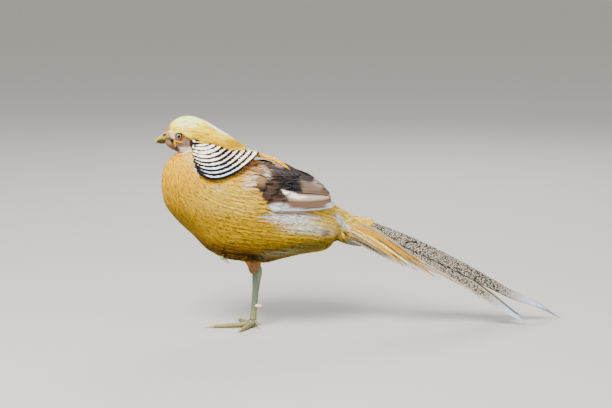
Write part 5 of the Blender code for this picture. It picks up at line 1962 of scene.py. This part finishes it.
@dataclass
class Bill:
    """Upper and lower bill with nostrils."""

    upper: tuple = (((-118.6, 287.0), (-120.9, 272.8), 5.4), ((-121.6, 285.2), (-123.0, 272.7), 4.9),
                    ((-125.0, 282.6), (-126.2, 272.5), 4.2), ((-129.0, 279.2), (-129.8, 272.3), 3.4),
                    ((-133.0, 276.2), (-133.2, 271.8), 2.4), ((-135.8, 273.0), (-135.7, 271.1), 1.4),
                    ((-137.2, 271.0), (-137.0, 270.4), 0.4))
    lower: tuple = (((-121.3, 272.3), (-121.7, 268.3), 4.9), ((-126.4, 272.0), (-126.3, 268.3), 3.7),
                    ((-130.4, 271.6), (-130.2, 268.9), 2.7), ((-133.8, 270.8), (-133.6, 269.5), 1.5),
                    ((-135.3, 270.4), (-135.2, 270.0), 0.5))
    nostril: tuple[float, float] = (-121.9, 281.0)

    def half_shell(self, sections: tuple, arched: bool) -> Array:
        """Rings of one half of the bill, arched above or below its flat mouth side.

        Args:
            sections: Top point, bottom point and half width of each.
            arched: True for the upper bill.

        Returns:
            The rings.
        """
        knots = np.array([(*top, *bottom, half) for top, bottom, half in sections], float)
        line = spline(knots, np.linspace(0.0, len(knots) - 1.0, 56))
        angle = np.linspace(0.0, math.pi, 29)
        rise = np.sin(angle) ** 0.85
        flat, high = (line[:, 2:4], line[:, 0:2]) if arched else (line[:, 0:2], line[:, 2:4])
        spot = flat[:, None] + (high - flat)[:, None] * rise[None, :, None]
        across = line[:, 4, None] * np.cos(angle)[None]
        arch = np.stack([spot[..., 0], across, spot[..., 1]], axis=-1)
        share = np.linspace(-1.0, 1.0, 11)[1:-1]
        mouth = [flat[:, None, 0] + 0 * share, line[:, 4, None] * share, flat[:, None, 1] + 0 * share]
        return np.concatenate([arch, np.stack(mouth, axis=-1)], axis=1)

    def build(self) -> None:
        """Both halves."""
        # Worn horn, grown in layers: dull satin with faint growth lines
        finish = Hide("bill horn", roughness=0.45, grain=0.9, contrast=0.1, bump=0.25, gloss=0.12)
        for name, sections, arched in (("upper", self.upper, True), ("lower", self.lower, False)):
            rings = self.half_shell(sections, arched)
            if arched:
                x, z = self.nostril
                near = np.hypot((rings[..., 0] - x) / 2.6, (rings[..., 2] - z) / 1.2)
                dent = smooth(1.25 - near) * (np.abs(rings[..., 1]) > 1.0)
                rings[..., 1] -= np.sign(rings[..., 1]) * 0.5 * dent
            # the two dark brown marks along the mouth line are painted shade under the upper bill
            patches = [
                Patch(-124, 273.4, 8, 2.4, "#3E2E08", 0.9, 0.8), Patch(-120, 283, 6, 5, "#9C7458"),
                Patch(-126.5, 279.6, 6, 1.6, "#8E8A54", 0.9, 0.8, 38),
                Patch(-135.5, 271.8, 3.4, 3, "#A89C58"), Patch(-127, 271.6, 9, 1.8, "#3A2A12", 0.9, 0.7)]
            if arched:
                # the nostril painted near black: painted shade in its opening
                patches.append(Patch(*self.nostril, 3.2, 1.9, "#140604", 1.0, 0.4, 18))
            piece = Piece("bill_" + name + "_horn", finish, "bill_horn")
            # the lower bill's dark base colour is painted shade under the upper bill
            piece.form(rings, "#7E7410" if arched else "#3C2E16", patches)
            piece.build("bill_" + name)


@dataclass
class Legs:
    """Shanks, feet and claws: the right leg stands, the left one is drawn up under the belly."""

    hock: tuple = (9.2, 6.0, 90.0)
    ankle: tuple = (1.4, 0.5, 11.5)
    shank_shares: tuple = (0.0, 0.03, 0.08, 0.14, 0.22, 0.42, 0.6, 0.8, 0.93, 1.0)
    shank_depths: tuple = (3.6, 5.6, 6.8, 7.2, 6.7, 5.1, 4.6, 4.4, 5.0, 5.6)
    shank_wide: float = 0.82
    # Middle, inner and outer toe: where it ends, and the length of its claw
    toes: tuple = (((-54.5, -2.0), 13.4), ((-17.0, -27.5), 10.0), ((-16.0, 36.0), 9.6))
    toe_radius: float = 4.2
    toe_sink: float = 0.8
    hind_toe: tuple = ((3.6, -2.0, 9.6), (6.0, -4.6, 7.4), (7.8, -7.4, 4.4), (8.6, -8.8, 3.0))
    hind_claw: tuple = ((8.2, -8.2, 3.8), (9.6, -10.4, 2.6), (10.6, -12.0, 1.2), (11.2, -13.0, 0.4))
    drawn_hock: tuple = (20.0, -21.0, 105.5)
    drawn_ankle: tuple = (-30.0, -17.0, 110.5)
    drawn_toes: tuple = ((-6.0, -1.4), (0.0, 1.6), (5.6, 0.0))
    scute: float = 2.9        # length of one plate
    plate: float = 0.34       # how far a plate's end stands up
    # Horny plates grown over the skin: satin ridges, each a little uneven
    finish: Hide = Hide("leg scales", roughness=0.46, coat=0.05, grain=1.1, contrast=0.18, bump=0.35)
    # Horn polished by the ground: a faint gloss
    horn: Hide = Hide("claw horn", roughness=0.35, coat=0.1, grain=0.8, contrast=0.12, bump=0.2)

    def plated(self, knots: list, radii: list, length: float, sides: int = 28) -> Array:
        """Rings of a limb with overlapping plates along its front or upper side.

        Args:
            knots: Points of its line.
            radii: Half depths and half widths.
            length: Its length.
            sides: Points on a ring.

        Returns:
            The rings.
        """
        rings = bar(knots, radii, max(24, int(length / 0.42)), sides)
        many = len(rings)
        centre = rings.mean(axis=1, keepdims=True)
        along = np.linspace(0.0, length / self.scute, many)
        saw = np.mod(along, 1.0)
        lip = smooth(saw / 0.75) - smooth((saw - 0.82) / 0.18)
        angle = 2 * math.pi * np.arange(sides) / sides
        front = smooth((np.cos(angle) + 0.35) / 0.6)
        fine = 0.35 * (0.5 + 0.5 * np.sin(along[:, None] * 4 * math.pi + 3 * np.sign(np.sin(angle))[None]))
        lift = self.plate * (lip[:, None] * front[None] + fine * (1 - front)[None])
        return rings + unit(rings - centre) * lift[..., None]

    def egg(self, centre: tuple, radii: tuple) -> Array:
        """Rings of a rounded pad.

        Args:
            centre: Its middle.
            radii: Its half sizes along x, y and z.

        Returns:
            The rings.
        """
        swing, turn = ring_grid(0.02, math.pi - 0.02, 30, 36)
        angle = 2 * math.pi * turn
        shape = [np.sin(swing) * np.cos(angle), np.sin(swing) * np.sin(angle), np.cos(swing)]
        return np.array(centre) + np.stack(shape, axis=-1) * np.array(radii)

    def claw(self, piece: Piece, knots: list, radius: float) -> None:
        """Add one curved claw.

        Args:
            piece: The piece that it belongs to.
            knots: Points of its line.
            radius: Half depth at the root.
        """
        shares = ((1.0, 0.8), (0.85, 0.65), (0.55, 0.42))
        radii = [(radius * deep, radius * wide) for deep, wide in shares] + [(0.15, 0.12)]
        points, faces, unwrap = loft(bar(knots, radii, 26, 14))
        share = np.concatenate([np.repeat(np.linspace(0, 1, 26), 14), [0.0, 1.0]])[:, None]
        colour = blend(linear("#96865C"), "#B8A67C", share)
        points[:, 2] = np.maximum(points[:, 2], 0.03)
        piece.add(points, faces, colour, None, unwrap)

    def standing(self) -> None:
        """The right shank with its spur, and the foot flat on the floor."""
        hock, ankle = np.array(self.hock), np.array(self.ankle)
        down = ankle - hock
        shank = Piece("shank", self.finish, "leg_scales")
        rings = self.plated([hock + down * f for f in self.shank_shares],
                            [(d - 0.2, (d - 0.2) * self.shank_wide) for d in self.shank_depths], 79.0)
        shank.form(rings, "#4E5C46", [Patch(13, 78, 4, 16, "#7A7A58", 0.6, 0.9),
                                      Patch(1, 14, 12, 12, "#6E6C42", 0.7, 0.8)])
        root = hock + down * 0.75
        spur = bar([root, root + (4.6, -2.6, 0.6), root + (8.6, -4.6, 0.4), root + (12.0, -6.2, 1.6)],
                   [(2.6, 2.6), (2.3, 2.3), (1.5, 1.5), (0.3, 0.3)], 30, 16)
        shank.form(spur, "#DDB888")
        shank.build("shank_right")

        foot = Piece("foot", self.finish, "leg_scales")
        claws = Piece("claws", self.horn, "leg_scales")
        parts = [self.egg((-0.5, 0.2, 5.6), (7.4, 6.8, 6.6))]
        start = np.array([0.0, 0.0, 5.0])
        for (x, y), claw_length in self.toes:
            way = unit(np.array([x, y, 0.0]))
            length = math.hypot(x, y)
            knots, radii = [start], [(self.toe_radius - 0.2, self.toe_radius - 0.2)]
            for k in range(1, 6):
                f = k / 5
                radius = self.toe_radius * (1.0 - 0.4 * f ** 1.5) * (1.05 if k % 2 else 0.95)
                height = start[2] + (radius * self.toe_sink - start[2]) * min(1.0, f * 2.2)
                knots.append(way * length * f + (0.0, 0.0, height))
                radii.append((radius - 0.2, radius - 0.2))
            parts.append(self.plated(knots, radii, length, 24))
            self.claw(claws, [knots[-1] + way * claw_length * share + (0.0, 0.0, rise)
                              for share, rise in ((-0.12, 0.3), (0.3, 0.7), (0.7, 0.0), (1.0, -1.5))], 2.0)
        parts.append(self.plated(list(self.hind_toe), [(r, r) for r in (2.4, 2.3, 2.1, 1.8)], 11.0, 20))
        self.claw(claws, list(self.hind_claw), 1.8)
        for rings in parts:
            foot.form(rings, "#6A6234", [Patch(2, 10, 9, 8, "#58583A", 0.8),
                                         Patch(-36, 8, 26, 3.4, "#66684A", 0.7)], 0.02)
        foot.build("foot_right")
        claws.build()

    def drawn_up(self) -> None:
        """The left shank and the closed foot under the belly, only the claws hanging out."""
        hock, ankle = np.array(self.drawn_hock), np.array(self.drawn_ankle)
        line = ankle - hock
        shank = Piece("shank_drawn_up", self.finish, "leg_scales")
        rings = self.plated([hock + line * f for f in (0.0, 0.08, 0.3, 0.6, 0.9, 0.985)],
                            [(r, r) for r in (2.8, 5.0, 4.1, 3.8, 3.9, 4.1)], 50.0)
        shank.form(rings, "#7F7A58")
        shank.build("shank_left")
        foot = Piece("foot_drawn_up", self.finish, "leg_scales")
        claws = Piece("claws_drawn_up", self.horn, "leg_scales")
        parts = [self.egg(tuple(ankle + (-5.2, 0.0, -0.3)), (4.8, 5.2, 4.8))]
        base = ankle + (-6.0, 0.0, -0.6)
        for across, forward in self.drawn_toes:
            knots = [base, base + (-4.0 + forward, across * 0.6, -0.4), base + (-5.6 + forward, across, -2.4),
                     base + (-4.8 + forward, across, -4.6)]
            parts.append(self.plated(knots, [(r, r) for r in (2.5, 2.4, 2.2, 1.9)], 12.0, 20))
            steps = ((0.2, 0, 1.2), (2.4, 0, -1.6), (5.2, 0, -5.2), (8.6, 0, -9.0))
            self.claw(claws, [knots[-1] + step for step in steps], 1.1)
        for rings in parts:
            foot.form(rings, "#8C8460")
        foot.build("foot_left")
        claws.build()


@dataclass
class Studio:
    """Floor, light and the camera at the photograph's place."""

    place: tuple = (-0.0647, -2.0478, 0.5085)
    right: tuple = (0.99756, -0.06976, 0.0)
    up: tuple = (0.01103, 0.15777, 0.98741)
    back: tuple = (-0.0689, -0.9850, 0.1582)
    lens: float = 85.3
    # Name, place, size and power of each lamp
    lamps: tuple = (("key", (-0.9, -1.3, 2.1), 1.1, 235.0), ("fill", (1.6, -1.2, 0.8), 1.4, 26.0),
                    ("rim", (0.6, 1.8, 1.6), 1.0, 40.0))

    def camera(self) -> None:
        """The camera."""
        data = bpy.data.cameras.new("camera")
        data.lens, data.sensor_width = self.lens, 36.0
        camera = bpy.data.objects.new("camera", data)
        rows = [(*axes, place) for axes, place in zip(zip(self.right, self.up, self.back), self.place)]
        camera.matrix_world = Matrix(rows + [(0.0, 0.0, 0.0, 1.0)])
        bpy.context.scene.collection.objects.link(camera)
        bpy.context.scene.camera = camera

    def floor(self) -> None:
        """A plain pale floor."""
        mesh = bpy.data.meshes.new("floor")
        mesh.from_pydata([(-30, -30, 0), (30, -30, 0), (30, 30, 0), (-30, 30, 0)], [], [(0, 1, 2, 3)])
        material = bpy.data.materials.new("plain floor")
        material.use_nodes = True
        shader = material.node_tree.nodes["Principled BSDF"]
        shader.inputs["Base Color"].default_value = (*linear("#9C9993"), 1.0)
        shader.inputs["Roughness"].default_value = 0.8
        mesh.materials.append(material)
        floor = bpy.data.objects.new("floor", mesh)
        bpy.context.scene.collection.objects.link(floor)

    def light(self) -> None:
        """Soft light from all round, with a large lamp high on the left and a smaller one on the right."""
        world = bpy.data.worlds.new("studio")
        world.use_nodes = True
        world.node_tree.nodes["Background"].inputs[0].default_value = (*linear("#F0EFEC"), 1.0)
        world.node_tree.nodes["Background"].inputs[1].default_value = 1.15
        bpy.context.scene.world = world
        for name, spot, size, power in self.lamps:
            data = bpy.data.lights.new(name, "AREA")
            data.size, data.energy = size, power
            lamp = bpy.data.objects.new(name, data)
            back = unit(np.array(spot) - (0.05, 0.0, 0.18))
            right = unit(np.cross([0.0, 0.0, 1.0], back))
            rows = np.stack([right, np.cross(back, right), back, np.array(spot)], axis=1)
            lamp.matrix_world = Matrix([*rows.tolist(), (0.0, 0.0, 0.0, 1.0)])
            bpy.context.scene.collection.objects.link(lamp)

    def build(self) -> None:
        """Set the whole stage."""
        self.camera()
        self.floor()
        self.light()


def main() -> None:
    """Build the bird piece by piece."""
    logging.basicConfig(level=logging.INFO, format="%(message)s")
    draw = np.random.default_rng(SEED)
    Studio().build()
    flesh = Flesh()
    flesh.build_skin()
    Coat(flesh).build(draw)
    Crest().build(draw)
    Cape().build(draw)
    for side, name in ((-1, "wing_left"), (1, "wing_right")):
        Wing(side, name).build(draw)
    Mantle(Cape().raised()).build(draw)
    Tail().build(draw)
    Thigh().build(draw)
    for side, name in ((-1, "left"), (1, "right")):
        eye = Eye(flesh, side, name)
        eye.ball()
        eye.lids()
    Bill().build()
    legs = Legs()
    legs.standing()
    legs.drawn_up()


if __name__ == "__main__":
    main()
